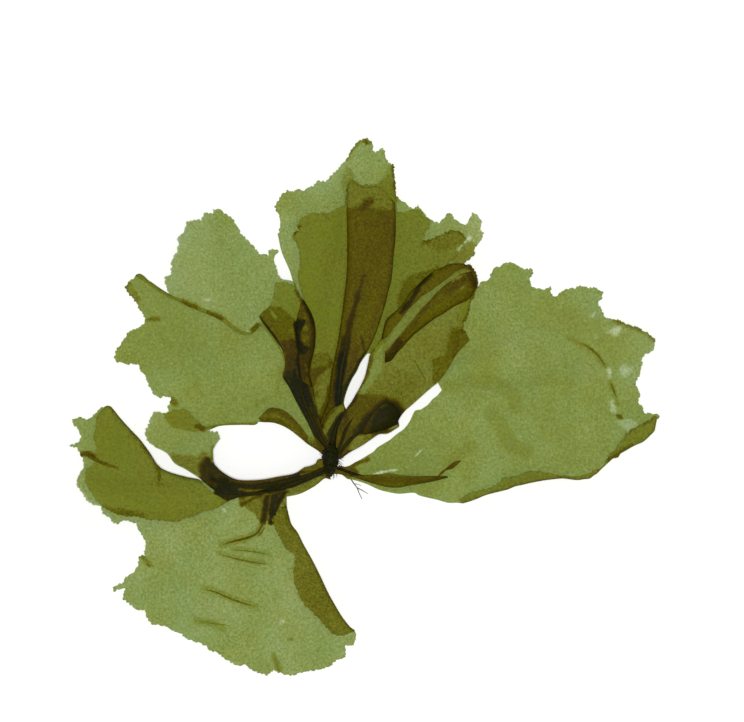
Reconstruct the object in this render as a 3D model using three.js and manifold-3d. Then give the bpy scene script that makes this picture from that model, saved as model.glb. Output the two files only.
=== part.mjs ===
// Kornmannia leptoderma, a small green seaweed, spread out on a surface. Ten thin fronds grow from one small
// holdfast, fan out round it and lie over each other, with some of their margins folded back on themselves.
// Millimetres, +Z up. The origin is the middle of the holdfast's flat underside.

import * as THREE from "three";
import { mergeVertices } from "three/addons/utils/BufferGeometryUtils.js";
import Module from "manifold-3d";

const wasm = await Module();
wasm.setup();

// The plan was drawn over a picture of 744 by 722 pixels, taken from straight above.
const PICTURE_MM = 20; // this real length
const PICTURE_PIXELS = 189; // covers so many pixels
const MM_PER_PIXEL = PICTURE_MM / PICTURE_PIXELS;
const HOLDFAST_PIXEL = [331, 459];

// Sizes of the fronds
const FILM = 0.6; // thickness of a frond
const LAYER_STEP = 0.95; // from one layer up to the next, which leaves 0.35 between them
const ROLL_RISE = 0.45; // how far a rolled margin stands above its frond
const GRID = 2.4; // spacing of the heights that bend every frond
const SETTLE = 6; // length over which a frond comes down from the one that it crosses

// The waves that run out from the holdfast, which all layers share
const WAVE_HEIGHT = 1.2;
const WAVE_COUNT = 11; // in one turn round the holdfast
const WAVE_TWIST = 0.11; // radians for each millimetre outwards
const WAVE_START = 4; // radius where the waves begin
const WAVE_FULL = 26; // radius where they reach their full height
const SLOW_COUNT = 4; // a slower swell, added to the waves
const SLOW_SHARE = 0.5;
const WAVE_BIAS = 0.35; // more of each wave lies on the surface than above it
const WAVE_SOFTNESS = 0.3; // how softly a wave leaves the surface

// Sizes of the holdfast
const HOLDFAST_RADIUS = 0.9; // half of its width along X
const HOLDFAST_STRETCH = 1.95; // its length along Y, over its width
const HOLDFAST_HEIGHT = 3.6;
const HOLDFAST_SIDES = 20;
const NECK_GAP = 0.3; // between the holdfast and each neck

// Every film is cut to its outline between these heights, well below and above the whole plant.
const CUT_BOTTOM = -5;
const CUT_TOP = 20;

// Outlines, as pixels of the picture. They run round each frond from its neck.

const RIGHT_LOWER_ROLL = [
  [600, 470], [597, 473], [593, 475.5], [590, 478], [585, 478.5], [578, 479.5], [572, 479], [565, 478], [560, 478],
  [550, 479], [540, 480.5], [530, 482.5], [522, 484.5], [515, 486], [508, 489], [500, 491], [492, 493],
  [485, 495], [478, 498], [470, 501], [463, 503],
];
const RIGHT_TIP_FOLD = [
  [656, 422], [655, 427], [654, 431], [650, 435], [646, 439], [642, 442], [637, 444], [631, 447], [626, 450],
  [620, 453.5], [618, 457], [613, 458], [609, 461.5],
];
const RIGHT_TIP_FREE_EDGE = [
  [601, 462], [607, 456], [613, 450], [618, 444], [622, 438], [627, 433], [636, 427], [643, 422], [650, 417],
];
const RIGHT_FROND = [
  [332, 468], [341, 466], [345, 467], [350, 465.5], [355, 462.5], [360, 460], [365, 457], [370, 454], [374, 451.5],
  [377, 448], [385, 443], [390, 440], [397, 434], [404, 429], [410, 421], [415, 411], [420, 410], [428, 405],
  [432, 400], [437, 396], [442, 390], [437, 381], [444, 366], [452, 354], [459, 343], [458, 330], [457, 318],
  [461, 306], [467, 296], [472, 290], [478, 286],
  [483, 281], [488, 280], [492, 273], [494, 268], [501, 266], [505, 263], [510, 261.5], [518, 265.5], [526, 269],
  [532, 268.5], [534, 273], [530, 279], [531.5, 286], [536, 288.5], [545, 289.5], [551.5, 286], [551, 292],
  [553, 296], [557, 296], [562, 291], [570, 288], [576, 288.5], [580, 285], [588, 287.5], [597, 287.5], [603, 291],
  [603, 298], [598, 303], [601, 309], [605, 317], [612, 319.5], [619, 320.5], [625, 324], [636, 327], [646, 332],
  [655, 340], [653.5, 350], [646, 353.5], [642, 358], [641.5, 368], [638, 380], [635, 382], [640, 393], [639, 403],
  [643, 407], [644, 413], [651, 413], [659, 415], [660, 417],
  ...RIGHT_TIP_FOLD, [606, 464], ...RIGHT_LOWER_ROLL,
  [457, 503], [448, 503], [437, 500], [420, 496], [414, 493], [399, 494], [387, 492], [378, 489.5], [366, 484],
  [353, 480], [347, 479], [342, 475], [332, 474],
];
const RIGHT_BASE_PLEAT = [
  [350, 475], [360, 475.5], [380, 474.5], [390, 473.5], [410, 476], [448, 477], [435, 480.5], [425, 482.5],
  [410, 485], [400, 487], [390, 487], [380, 485], [366, 481],
];

const PLEATED_TOP_FOLD = [
  [464, 264.5], [450, 265], [441, 269], [433, 273], [425, 279], [418, 286], [410, 294], [404, 304], [396, 312],
  [387, 320], [384, 330], [382, 339],
];
const PLEATED_TOP_FREE_EDGE = [
  [387, 337], [391, 331], [398, 323], [403, 317], [408, 310], [415, 303], [422, 296], [430, 291], [437, 286],
  [445, 280], [455, 272], [464, 268],
];
const PLEATED_LOW_FOLD = [
  [475, 281], [474, 290], [468, 299], [460, 303], [452, 307], [443, 313], [433, 319], [424, 326], [415, 333],
  [408, 340], [402, 347], [396, 353], [391, 360], [385, 362],
];
const PLEATED_LOW_FREE_EDGE = [
  [385, 352], [390, 347], [396, 340], [407, 327], [413, 320], [420, 311], [428, 303], [434, 296], [440, 290],
  [447, 284], [455, 279], [462, 274], [471, 272],
];
const PLEATED_FROND = [
  [336, 452], [340, 459], [345, 455.5], [350, 452], [361, 446], [370, 440], [379, 434], [387, 433.5], [395, 429],
  [399, 426], [398, 421], [402, 414], [407, 409], [413, 404], [425, 393], [432, 387], [438, 382], [447, 370],
  [456, 355], [465, 345], [469, 341], [467, 334], [463, 328], [463, 322], [466, 320], [469, 310], [469.5, 305],
  [474, 295], [477, 286], [477.5, 280], [476, 273], [470, 265],
  ...PLEATED_TOP_FOLD,
  [376, 346], [370, 355], [369, 359], [367.5, 366], [365, 376], [361, 385], [356, 394], [352, 401], [347, 408],
  [342, 418], [338, 428], [336, 440],
];
const PLEATED_BASE_PLEAT = [
  [385, 404], [393, 405], [400, 412], [397, 420], [395, 425], [385, 430], [378, 432], [370, 432], [360, 430],
  [363, 424], [370, 416], [377, 408],
];

const TOP_BACK_FROND = [
  [333, 446], [326, 446], [320, 432], [314, 415], [309, 395], [306, 373], [307, 352], [309, 335], [306, 316],
  [301, 300], [294, 284], [290, 271], [285, 260], [281, 250], [278, 236], [280, 226], [280, 218], [278, 213],
  [274, 206], [279, 199], [281, 195], [288, 189.5], [291, 192], [297, 189], [305, 190.5], [309, 187.5],
  [314, 185.5], [318, 180.5], [326, 181.5], [333, 173.5], [340, 167], [344, 162], [347, 158], [352, 149],
  [359, 140.5], [367, 137.5], [372, 142], [372.5, 149], [375, 152.5], [380, 148.5], [383.5, 147.5], [386, 158],
  [391, 164.5], [394, 164], [395, 180], [396, 196], [404, 201.5], [409, 207], [415, 208], [418, 204], [425, 216],
  [435, 222], [440, 222.5], [446, 214.5], [450, 212.5], [456, 219.5], [466, 225], [470, 218], [472, 212],
  [477, 214], [482, 221], [480, 229.5], [484.5, 233], [482, 238], [475, 248], [474, 256], [466, 262],
  [456, 269], [440, 281], [425, 292], [410, 306], [399, 320], [391, 332], [384, 342], [378, 350], [372, 355],
  [368, 353.5], [361, 362], [357, 371], [352, 379], [348, 388], [345, 397], [344, 404], [346, 409], [349, 415],
  [345, 424], [340, 432], [337, 439],
];

const TOP_FRONT_PLEAT_LEFT = [
  [348, 188], [347.5, 210], [348, 235], [348, 260], [347, 280], [344, 305], [342, 320], [339, 340], [336, 355],
  [333, 370], [331, 385], [329, 402],
];
const TOP_FRONT_PLEAT_RIGHT = [
  [341, 402], [344, 391], [348, 381], [352, 373], [358, 362], [365, 352], [371, 343], [376, 331], [381, 316],
  [385, 303], [388, 290], [391, 278], [393, 255], [395, 235], [395, 215], [394, 192],
];
const TOP_FRONT_PLEAT_CREST = [
  [388, 178], [380, 186], [370, 188], [360, 187], [351, 182],
];
const TOP_FRONT_FROND = [
  [332, 446], [327, 446], [323, 432], [318, 415], [313.5, 395], [310, 370], [311, 352], [312.5, 335],
  [311, 320], [307, 307], [303, 296], [300, 285], [298, 275], [300, 266], [300, 250], [293, 237], [294, 233],
  [300, 231], [297, 226], [302, 219], [308, 215], [315, 213], [325, 214], [333, 212], [338, 208], [345, 205],
  [346.5, 190], [350, 179], [360, 184], [370, 185], [380, 183], [389, 175], [395, 190], [397, 212], [405, 213],
  [412, 210], [420, 210], [430, 219], [430, 228], [425, 232], [423, 240], [430, 240], [438, 236], [452, 230],
  [460, 232], [467, 239], [460, 247], [456, 256], [447, 265], [438, 274], [424, 286], [411, 299], [399, 313],
  [392, 323], [386, 334], [380, 344], [373, 351.5], [366, 353.5], [360, 362.5], [356, 371], [351, 380],
  [347, 388], [344, 397], [343, 404], [345, 409], [346, 414], [342, 423], [338, 431], [335, 438],
];

const UPPER_LEFT_FROND = [
  [326, 452], [318, 444], [311, 430], [303, 412], [293, 393], [286, 378], [285, 366], [281, 352], [273, 340],
  [262, 326], [256, 331], [248, 335], [238, 333], [226, 324], [215, 317], [200, 311], [186, 305], [176, 299],
  [169, 294], [167, 288], [164.5, 277], [171, 275], [171, 270], [173, 259], [178, 250], [179, 242], [176.5, 239],
  [183, 234], [187, 226], [186.5, 222], [195, 220], [202, 220.5], [204, 213], [213, 214], [212.5, 209],
  [218, 208.5], [223, 212], [233, 219], [238, 227], [241, 234], [250, 242.5], [257, 251], [260, 254.5], [264, 254],
  [268, 256], [268.5, 250], [272, 248.5], [278, 250], [277.5, 253], [274.5, 256], [274, 260], [277, 271],
  [280, 277], [283, 279.5], [294, 282], [297, 292], [300, 303], [304, 318], [305, 335], [303, 350], [303, 366],
  [306, 385], [310, 403], [314, 418], [318, 430], [326, 444],
];

const LEFT_TOP_ROLL = [
  [136, 275], [139, 274], [143, 276], [147, 280], [153, 284], [160, 289],
];
const LEFT_FROND = [
  [326, 458], [318, 451], [307, 443], [300, 437], [288, 428], [275, 422.5], [262, 421.5], [258, 422], [255, 425],
  [240, 425], [220, 426], [209, 430], [200, 430.5], [194, 432], [185, 430], [172, 427], [167, 421], [162, 414],
  [169, 412], [167, 407], [171, 400], [170, 397], [164, 396], [160, 398.5], [153, 394], [149, 387], [145, 377],
  [140, 370], [137, 364], [127, 364.5], [116, 362], [113.5, 358], [116, 349], [123, 340], [129, 331], [136, 328],
  [144, 324], [145, 318], [139, 309], [136, 303], [126, 291], [124, 286.5], [130, 279.5], [133, 279],
  ...LEFT_TOP_ROLL, [173, 296.5], [187, 301], [200, 307.5], [215, 312.5], [225, 318],
  [232, 324], [240, 330], [247, 332], [252, 331], [260, 322], [266, 327], [272, 335], [279, 346], [285, 360],
  [288, 374], [293, 388], [300, 401], [307, 415], [313, 430], [318, 441], [326, 450],
];
const LEFT_BASE_PLEAT = [
  [259, 423], [268, 410], [275, 408.5], [284, 410.5], [292, 418], [301, 427], [309, 438], [306, 440], [299, 434],
  [288, 426], [275, 423],
];

const STUB_RIGHT_FOLD = [
  [303, 300], [308, 308], [312, 316], [315, 328], [314.5, 346], [311, 361], [309, 373], [312, 387],
];
const STUB_FREE_EDGE = [
  [303, 381], [300, 365], [299, 345], [296, 330], [298, 315],
];
const STUB_FROND = [
  [328, 450], [319, 441], [312, 431], [303, 411], [292, 391], [283, 377], [284.5, 369], [285, 359], [280, 345],
  [270, 332], [260, 317], [268, 308], [273, 301], [275, 292], [275, 284], [283, 282], [293, 285], [298, 292],
  ...STUB_RIGHT_FOLD, [315, 400], [318, 413], [321, 425], [325, 436], [331, 446],
];

const SMALL_FROND = [
  [326, 468], [323, 459], [317.5, 459.5], [316, 463], [311, 465.5], [304, 467.3], [299, 471], [292, 474],
  [280, 476], [260, 479.5], [238.5, 479.5], [224.5, 473], [215, 464], [213.5, 456], [213.5, 449], [217, 443],
  [220.5, 438], [218, 432], [208, 430.5], [201.5, 424.5], [193, 418], [190, 412], [185, 409], [175, 410],
  [164, 414], [154.5, 411.5], [150.5, 417], [148, 426], [145.5, 430], [146.5, 440], [154.5, 446.5], [167, 453],
  [175, 463], [186, 469], [200, 478], [207, 484], [214, 489], [222, 493], [235, 494.5], [250, 492.5],
  [265, 489], [280, 486], [295, 482], [308, 477], [318, 473], [328, 473],
];

const LOWER_LEFT_FOLD = [
  [105, 407], [110, 407], [120, 419], [130, 430], [140, 440.5], [150, 454], [158, 466], [168, 472], [185, 477],
  [198, 479.5],
];
const LOWER_LEFT_LOWER_FREE_EDGE = [
  [205, 486], [212, 492], [220, 496], [225, 500],
];
const LOWER_LEFT_MARGIN = [
  [218, 507], [208, 510], [200, 512], [190, 517], [183, 518], [178, 521], [165, 520], [150, 518.5], [137, 516],
  [120, 514], [112, 511], [104, 506],
];
const LOWER_LEFT_UPPER_FREE_EDGE = [
  [97, 499], [94, 494], [90, 489], [86, 480], [87, 470], [96, 461], [97, 447], [94, 440], [95, 430], [97, 416],
];
const LOWER_LEFT_FROND = [
  [326, 477], [322, 475], [308, 482], [297, 488], [283, 492], [268, 495], [252, 495.5], [240, 497], [230, 500],
  ...LOWER_LEFT_MARGIN,
  [96, 504.5], [88, 500.5], [82, 491], [78, 487], [77, 481], [80, 473], [84, 468], [83, 460], [80, 455],
  [77, 448], [68, 446], [77, 443], [81, 437], [78, 430], [73, 425], [71, 419.5], [78, 417], [85, 419.5],
  [91, 417.5], [95, 413], [100, 408],
  ...LOWER_LEFT_FOLD,
  [212, 484.5], [225, 487.5], [240, 488.5], [255, 487], [270, 484.5], [285, 481], [300, 477], [312, 472],
  [326, 467],
];

const LOWER_RIGHT_FOLD = [
  [354.5, 631], [350, 628], [345, 622], [340, 615], [333, 603], [327, 592], [320, 577], [312, 561], [303, 545],
  [297, 533], [291, 525], [288, 515], [286, 506],
];
const LOWER_RIGHT_FREE_EDGE = [
  [280, 508], [273, 518], [276, 530], [282, 541], [286, 549], [293, 553], [296, 560], [293, 572], [295, 585],
  [300, 598], [309, 609], [318, 617], [325, 626], [331, 632], [338, 635.5], [347, 634],
];
const LOWER_FROND = [
  [328, 470], [319, 471.5], [305, 477], [290, 482], [275, 486], [255, 489], [240, 491], [228, 495], [215, 501],
  [200, 506], [180, 512.5], [160, 513], [140, 511], [120, 508.5], [108, 506], [101, 504.5], [103, 514], [110, 518],
  [113, 523], [118, 524], [122, 521], [128, 520], [136, 523], [138, 530], [145, 540.5], [144, 553], [146, 557.5],
  [141, 555.5], [138, 558], [137.5, 566], [133, 573], [125, 577], [122, 583], [112, 588], [113, 592], [120, 589.5],
  [125, 589], [122, 599], [129, 604], [136, 609.5], [145, 610], [148, 620], [151, 624], [158, 624], [170, 629],
  [181, 634], [185, 639], [197, 643], [206, 646], [208, 650], [218, 654], [227, 661], [236, 666], [245, 665],
  [252, 671], [267, 676.5], [273, 670], [277, 672], [283, 674.5], [293.5, 676], [304, 672], [320, 670], [331, 666],
  [337, 660], [344, 658], [346, 655], [345, 646], [354, 646], [356, 640], [356, 634],
  ...LOWER_RIGHT_FOLD,
  [286.5, 497], [300, 494], [312, 488], [318, 484], [325, 478.5], [331, 480],
];

// Every frond, with the fronds that it lies over, and its folds, pleats and rolled margins. A fold lies on its
// own frond, joined to it along one edge. A fold with a floor lies on the fold below it.
const leftFrond = {
  name: "left_frond",
  outline: LEFT_FROND,
  over: [],
  pleats: [LEFT_BASE_PLEAT],
  rolls: [LEFT_TOP_ROLL],
};
const rightFrond = {
  name: "right_frond",
  outline: RIGHT_FROND,
  over: [],
  folds: [{ edge: RIGHT_TIP_FOLD, free: RIGHT_TIP_FREE_EDGE, floor: 0 }],
  pleats: [RIGHT_BASE_PLEAT],
  rolls: [RIGHT_LOWER_ROLL],
};
const topBackFrond = { name: "top_back_frond", outline: TOP_BACK_FROND, over: [] };
const lowerFrond = {
  name: "lower_frond",
  outline: LOWER_FROND,
  over: [],
  folds: [{ edge: LOWER_RIGHT_FOLD, free: LOWER_RIGHT_FREE_EDGE, floor: 0 }],
};
const upperLeftFrond = { name: "upper_left_frond", outline: UPPER_LEFT_FROND, over: [leftFrond] };
const topFrontFrond = {
  name: "top_front_frond",
  outline: TOP_FRONT_FROND,
  over: [topBackFrond],
  folds: [
    { edge: TOP_FRONT_PLEAT_RIGHT, free: [...TOP_FRONT_PLEAT_CREST, ...TOP_FRONT_PLEAT_LEFT], floor: 0 },
    {
      edge: TOP_FRONT_PLEAT_LEFT,
      free: [...TOP_FRONT_PLEAT_RIGHT, ...TOP_FRONT_PLEAT_CREST],
      floor: 1,
    },
  ],
};
const lowerLeftFrond = {
  name: "lower_left_frond",
  outline: LOWER_LEFT_FROND,
  over: [lowerFrond],
  folds: [{
    edge: LOWER_LEFT_FOLD,
    free: [...LOWER_LEFT_LOWER_FREE_EDGE, ...LOWER_LEFT_MARGIN, ...LOWER_LEFT_UPPER_FREE_EDGE],
    floor: 0,
  }],
};
const stubFrond = {
  name: "stub_frond",
  outline: STUB_FROND,
  over: [upperLeftFrond, topFrontFrond, leftFrond],
  folds: [{ edge: STUB_RIGHT_FOLD, free: STUB_FREE_EDGE, floor: 0 }],
};
const smallFrond = { name: "small_frond", outline: SMALL_FROND, over: [lowerLeftFrond, leftFrond, lowerFrond] };
const pleatedFrond = {
  name: "pleated_frond",
  outline: PLEATED_FROND,
  over: [topFrontFrond, topBackFrond, rightFrond],
  folds: [
    { edge: PLEATED_TOP_FOLD, free: PLEATED_TOP_FREE_EDGE, floor: 0 },
    { edge: PLEATED_LOW_FOLD, free: PLEATED_LOW_FREE_EDGE, floor: 0 },
  ],
  pleats: [PLEATED_BASE_PLEAT],
};

// Plan geometry

function toPlan([column, row]) {
  const x = (column - HOLDFAST_PIXEL[0]) * MM_PER_PIXEL;
  const y = (HOLDFAST_PIXEL[1] - row) * MM_PER_PIXEL;
  return new THREE.Vector2(x, y);
}

function isInside(plan, point) {
  let inside = false;
  for (let i = 0, j = plan.length - 1; i < plan.length; j = i, i += 1) {
    const a = plan[i];
    const b = plan[j];
    const crosses = (a.y > point.y) !== (b.y > point.y);
    if (crosses && point.x < ((b.x - a.x) * (point.y - a.y)) / (b.y - a.y) + a.x) inside = !inside;
  }
  return inside;
}

function distanceOutside(plan, point) {
  if (isInside(plan, point)) return 0;
  let nearest = Infinity;
  for (let i = 0, j = plan.length - 1; i < plan.length; j = i, i += 1) {
    const side = plan[j].clone().sub(plan[i]);
    const reach = point.clone().sub(plan[i]);
    const share = THREE.MathUtils.clamp(reach.dot(side) / side.lengthSq(), 0, 1);
    nearest = Math.min(nearest, reach.addScaledVector(side, -share).length());
  }
  return nearest;
}

// A strip of one film's width along a line that is part of a closed outline, on the inner side of the outline.
function stripInside(outline, line) {
  const width = THREE.ShapeUtils.isClockWise(outline) ? FILM : -FILM;
  const inner = line.map((point, i) => {
    const before = line[Math.max(i - 1, 0)];
    const after = line[Math.min(i + 1, line.length - 1)];
    const along = after.clone().sub(before).normalize();
    return new THREE.Vector2(point.x + along.y * width, point.y - along.x * width);
  });
  return [...line, ...inner.reverse()];
}

// Heights

function waveHeight(x, y) {
  const radius = Math.hypot(x, y);
  const turn = Math.atan2(y, x);
  const swell = Math.sin(WAVE_COUNT * turn + WAVE_TWIST * radius) + SLOW_SHARE * Math.sin(SLOW_COUNT * turn);
  const grown = THREE.MathUtils.smoothstep(radius, WAVE_START, WAVE_FULL);
  const wave = WAVE_HEIGHT * grown * (swell - WAVE_BIAS);
  return (wave + Math.hypot(wave, WAVE_SOFTNESS * grown)) / 2;
}

// How far a frond is lifted by those under it. It stays at its full lift for more than a grid square past them.
function liftOf(frond, point) {
  const held = GRID * 1.5;
  let lift = 0;
  for (const lower of frond.over) {
    const away = distanceOutside(lower.outline.map(toPlan), point);
    const share = 1 - THREE.MathUtils.smoothstep(away, held, held + SETTLE);
    if (share > 0) lift = Math.max(lift, share * (liftOf(lower, point) + LAYER_STEP));
  }
  return lift;
}

// Solids

function toSolid(geometry) {
  geometry.deleteAttribute("normal");
  geometry.deleteAttribute("uv");
  const merged = mergeVertices(geometry);
  const vertProperties = new Float32Array(merged.attributes.position.array);
  const triVerts = new Uint32Array(merged.index.array);
  return new wasm.Manifold(new wasm.Mesh({ numProp: 3, vertProperties, triVerts }));
}

function toGeometry(solid) {
  const { vertProperties, triVerts } = solid.getMesh();
  const geometry = new THREE.BufferGeometry();
  geometry.setAttribute("position", new THREE.BufferAttribute(vertProperties, 3));
  geometry.setIndex(new THREE.BufferAttribute(triVerts, 1));
  geometry.computeVertexNormals();
  return geometry;
}

function prism(plan, bottom, top) {
  const geometry = new THREE.ExtrudeGeometry(new THREE.Shape(plan), { depth: top - bottom, bevelEnabled: false });
  geometry.translate(0, 0, bottom);
  return toSolid(geometry);
}

// A slab over the plan's box that follows the frond's heights, from rise above them up to rise plus thickness.
// Both faces have the same grid and the same diagonals, so they never cross.
function slab(plan, frond, rise, thickness) {
  const box = new THREE.Box2().setFromPoints(plan);
  const firstColumn = Math.floor(box.min.x / GRID) - 1;
  const firstRow = Math.floor(box.min.y / GRID) - 1;
  const columns = Math.ceil(box.max.x / GRID) + 2 - firstColumn;
  const rows = Math.ceil(box.max.y / GRID) + 2 - firstRow;
  const positions = [];
  for (const level of [rise, rise + thickness]) {
    for (let row = 0; row < rows; row += 1) {
      for (let column = 0; column < columns; column += 1) {
        const x = (firstColumn + column) * GRID;
        const y = (firstRow + row) * GRID;
        positions.push(x, y, waveHeight(x, y) + liftOf(frond, new THREE.Vector2(x, y)) + level);
      }
    }
  }
  const upper = rows * columns;
  const faces = [];
  const addQuad = (a, b, c, d) => faces.push(a, b, c, a, c, d);
  for (let row = 0; row < rows - 1; row += 1) {
    for (let column = 0; column < columns - 1; column += 1) {
      const a = row * columns + column;
      const b = a + 1;
      const c = a + columns + 1;
      const d = a + columns;
      faces.push(a, c, b, a, d, c);
      faces.push(upper + a, upper + b, upper + c, upper + a, upper + c, upper + d);
    }
  }
  for (let column = 0; column < columns - 1; column += 1) {
    const far = (rows - 1) * columns + column;
    addQuad(column, column + 1, upper + column + 1, upper + column);
    addQuad(far + 1, far, upper + far, upper + far + 1);
  }
  for (let row = 0; row < rows - 1; row += 1) {
    const near = row * columns;
    const far = near + columns - 1;
    addQuad(near + columns, near, upper + near, upper + near + columns);
    addQuad(far, far + columns, upper + far + columns, upper + far);
  }
  const geometry = new THREE.BufferGeometry();
  geometry.setAttribute("position", new THREE.Float32BufferAttribute(positions, 3));
  geometry.setIndex(faces);
  return toSolid(geometry);
}

function sheet(outline, frond, rise, thickness) {
  const plan = outline.map(toPlan);
  return prism(plan, CUT_BOTTOM, CUT_TOP).intersect(slab(plan, frond, rise, thickness));
}

function strip(outline, line, frond, rise, thickness) {
  const plan = stripInside(outline.map(toPlan), line.map(toPlan));
  return prism(plan, CUT_BOTTOM, CUT_TOP).intersect(slab(plan, frond, rise, thickness));
}

const neckCut = prism(
  new THREE.EllipseCurve(0, 0, HOLDFAST_RADIUS + NECK_GAP, HOLDFAST_RADIUS * HOLDFAST_STRETCH + NECK_GAP)
    .getPoints(HOLDFAST_SIDES).slice(1),
  CUT_BOTTOM,
  CUT_TOP,
);

function largestBody(solid) {
  return solid.decompose().reduce((largest, body) => (body.volume() > largest.volume() ? body : largest));
}

function frondSolid(frond) {
  let solid = sheet(frond.outline, frond, 0, FILM);
  for (const { edge, free, floor } of frond.folds ?? []) {
    const outline = [...edge, ...free];
    const rise = floor * LAYER_STEP;
    solid = solid.add(sheet(outline, frond, rise + LAYER_STEP, FILM));
    solid = solid.add(strip(outline, edge, frond, rise, LAYER_STEP + FILM));
  }
  for (const outline of frond.pleats ?? []) solid = solid.add(sheet(outline, frond, 0, LAYER_STEP + FILM));
  for (const line of frond.rolls ?? []) {
    solid = solid.add(strip(frond.outline, line, frond, 0, FILM + ROLL_RISE));
  }
  return largestBody(solid.subtract(neckCut));
}

// The holdfast is a small cushion, wider near its foot, with a flat underside.
function holdfastGeometry() {
  const profile = [
    [0, 0], [0.8, 0], [0.97, 0.08], [1, 0.22], [0.93, 0.5], [0.78, 0.78], [0.45, 0.95], [0, 1],
  ].map(([across, up]) => new THREE.Vector2(across * HOLDFAST_RADIUS, up * HOLDFAST_HEIGHT));
  const geometry = new THREE.LatheGeometry(profile, HOLDFAST_SIDES);
  geometry.rotateX(Math.PI / 2);
  geometry.scale(1, HOLDFAST_STRETCH, 1);
  return geometry;
}

// Assembly

const seaweed = new THREE.Group();
const fronds = [
  [leftFrond, 0x83944f],
  [rightFrond, 0x808f4e],
  [topBackFrond, 0x829351],
  [lowerFrond, 0x809150],
  [upperLeftFrond, 0x83954f],
  [topFrontFrond, 0x72782b],
  [lowerLeftFrond, 0x6a6e25],
  [stubFrond, 0x545313],
  [smallFrond, 0x798842],
  [pleatedFrond, 0x6a6f23],
];
for (const [frond, color] of fronds) {
  const material = new THREE.MeshStandardMaterial({ color, roughness: 0.5, metalness: 0, side: THREE.DoubleSide });
  const mesh = new THREE.Mesh(toGeometry(frondSolid(frond)), material);
  mesh.name = frond.name;
  seaweed.add(mesh);
}
const holdfastMaterial = new THREE.MeshStandardMaterial({ color: 0x24270d, roughness: 0.6, metalness: 0 });
const holdfast = new THREE.Mesh(holdfastGeometry(), holdfastMaterial);
holdfast.name = "holdfast";
seaweed.add(holdfast);

export default seaweed;
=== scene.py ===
# Kornmannia leptoderma, a small green seaweed, lying spread on a pale surface. Ten thin fronds grow from
# one holdfast and lie over each other. The film is so thin that each further layer shows as a darker tone.

import math

import bpy
import numpy as np
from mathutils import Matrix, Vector, geometry, noise


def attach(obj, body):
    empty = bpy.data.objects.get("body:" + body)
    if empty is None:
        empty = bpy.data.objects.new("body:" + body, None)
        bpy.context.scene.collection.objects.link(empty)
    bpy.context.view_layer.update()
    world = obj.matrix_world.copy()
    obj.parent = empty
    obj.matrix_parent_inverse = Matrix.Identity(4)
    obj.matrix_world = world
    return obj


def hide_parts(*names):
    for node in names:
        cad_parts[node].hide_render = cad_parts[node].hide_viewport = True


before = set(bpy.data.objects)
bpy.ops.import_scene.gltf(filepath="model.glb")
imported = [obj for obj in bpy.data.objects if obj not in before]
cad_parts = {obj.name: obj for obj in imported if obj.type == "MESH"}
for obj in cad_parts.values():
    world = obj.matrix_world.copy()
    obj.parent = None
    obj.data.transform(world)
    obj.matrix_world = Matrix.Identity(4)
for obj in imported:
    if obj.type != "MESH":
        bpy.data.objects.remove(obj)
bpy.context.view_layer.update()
MM = 0.001


# The holdfast
# A small cushion of packed root-like threads, nearly black green. Its flat underside grips the surface, and
# all ten fronds grow out of it.

HOLDFAST_RADIUS = 0.9  # half of its width along X
HOLDFAST_STRETCH = 1.95  # its length along Y, over its width
HOLDFAST_HEIGHT = 3.6
HOLDFAST_SIDES = 120
HOLDFAST_RINGS = 48
HOLDFAST_OUTLINE = {  # degrees round its uneven outline, and the reach as a share of the smooth oval's
    0: 0.92, 40: 1.05, 70: 1.08, 95: 1.05, 120: 1.0, 150: 1.08, 180: 1.02, 215: 0.9, 245: 1.0, 265: 1.1,
    285: 0.95, 310: 0.78, 335: 0.85, 360: 0.92,
}
HOLDFAST_PROFILE = [  # its side, as shares of the radius and of the height, from the foot up
    (0.8, 0), (0.97, 0.08), (1, 0.22), (0.93, 0.5), (0.78, 0.78), (0.45, 0.95), (0.2, 0.99),
]
LUMP_SIZE = 0.3  # of the bundles of threads that show in its sides
LUMP_HEIGHT = 0.16
LUMP_STRETCH = 0.3  # upright bundles: the pattern runs up the side at this share of its speed across
TOP_SHARE = 0.5  # above this share of the height the top has dents too
TOP_SLICE = 5  # where the dents are taken from the noise, well away from the lumps


def linear(colour):
    """The linear colour of an sRGB hex colour such as "24270D"."""
    channels = []
    for start in (0, 2, 4):
        value = int(colour[start:start + 2], 16) / 255
        channels.append(value / 12.92 if value <= 0.04045 else ((value + 0.055) / 1.055) ** 2.4)
    return (*channels, 1)


def add_node(tree, kind, sockets=None, **settings):
    """A node with its settings. A socket takes a value, or the output that is linked to it."""
    made = tree.nodes.new(kind)
    for name, value in settings.items():
        setattr(made, name, value)
    for name, value in (sockets or {}).items():
        if isinstance(value, bpy.types.NodeSocket):
            tree.links.new(value, made.inputs[name])
        else:
            made.inputs[name].default_value = value
    return made


def new_material(name):
    """An empty node material and its tree."""
    material = bpy.data.materials.new(name)
    material.use_nodes = True
    material.node_tree.nodes.clear()
    return material, material.node_tree


def new_piece(name, vertices, faces, material):
    """A smooth mesh object from vertices in millimetres."""
    mesh = bpy.data.meshes.new(name)
    mesh.from_pydata([tuple(c * MM for c in v) for v in vertices], [], faces)
    mesh.polygons.foreach_set("use_smooth", [True] * len(mesh.polygons))
    mesh.materials.append(material)
    mesh.update()
    piece = bpy.data.objects.new(name, mesh)
    bpy.context.scene.collection.objects.link(piece)
    return piece


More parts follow.
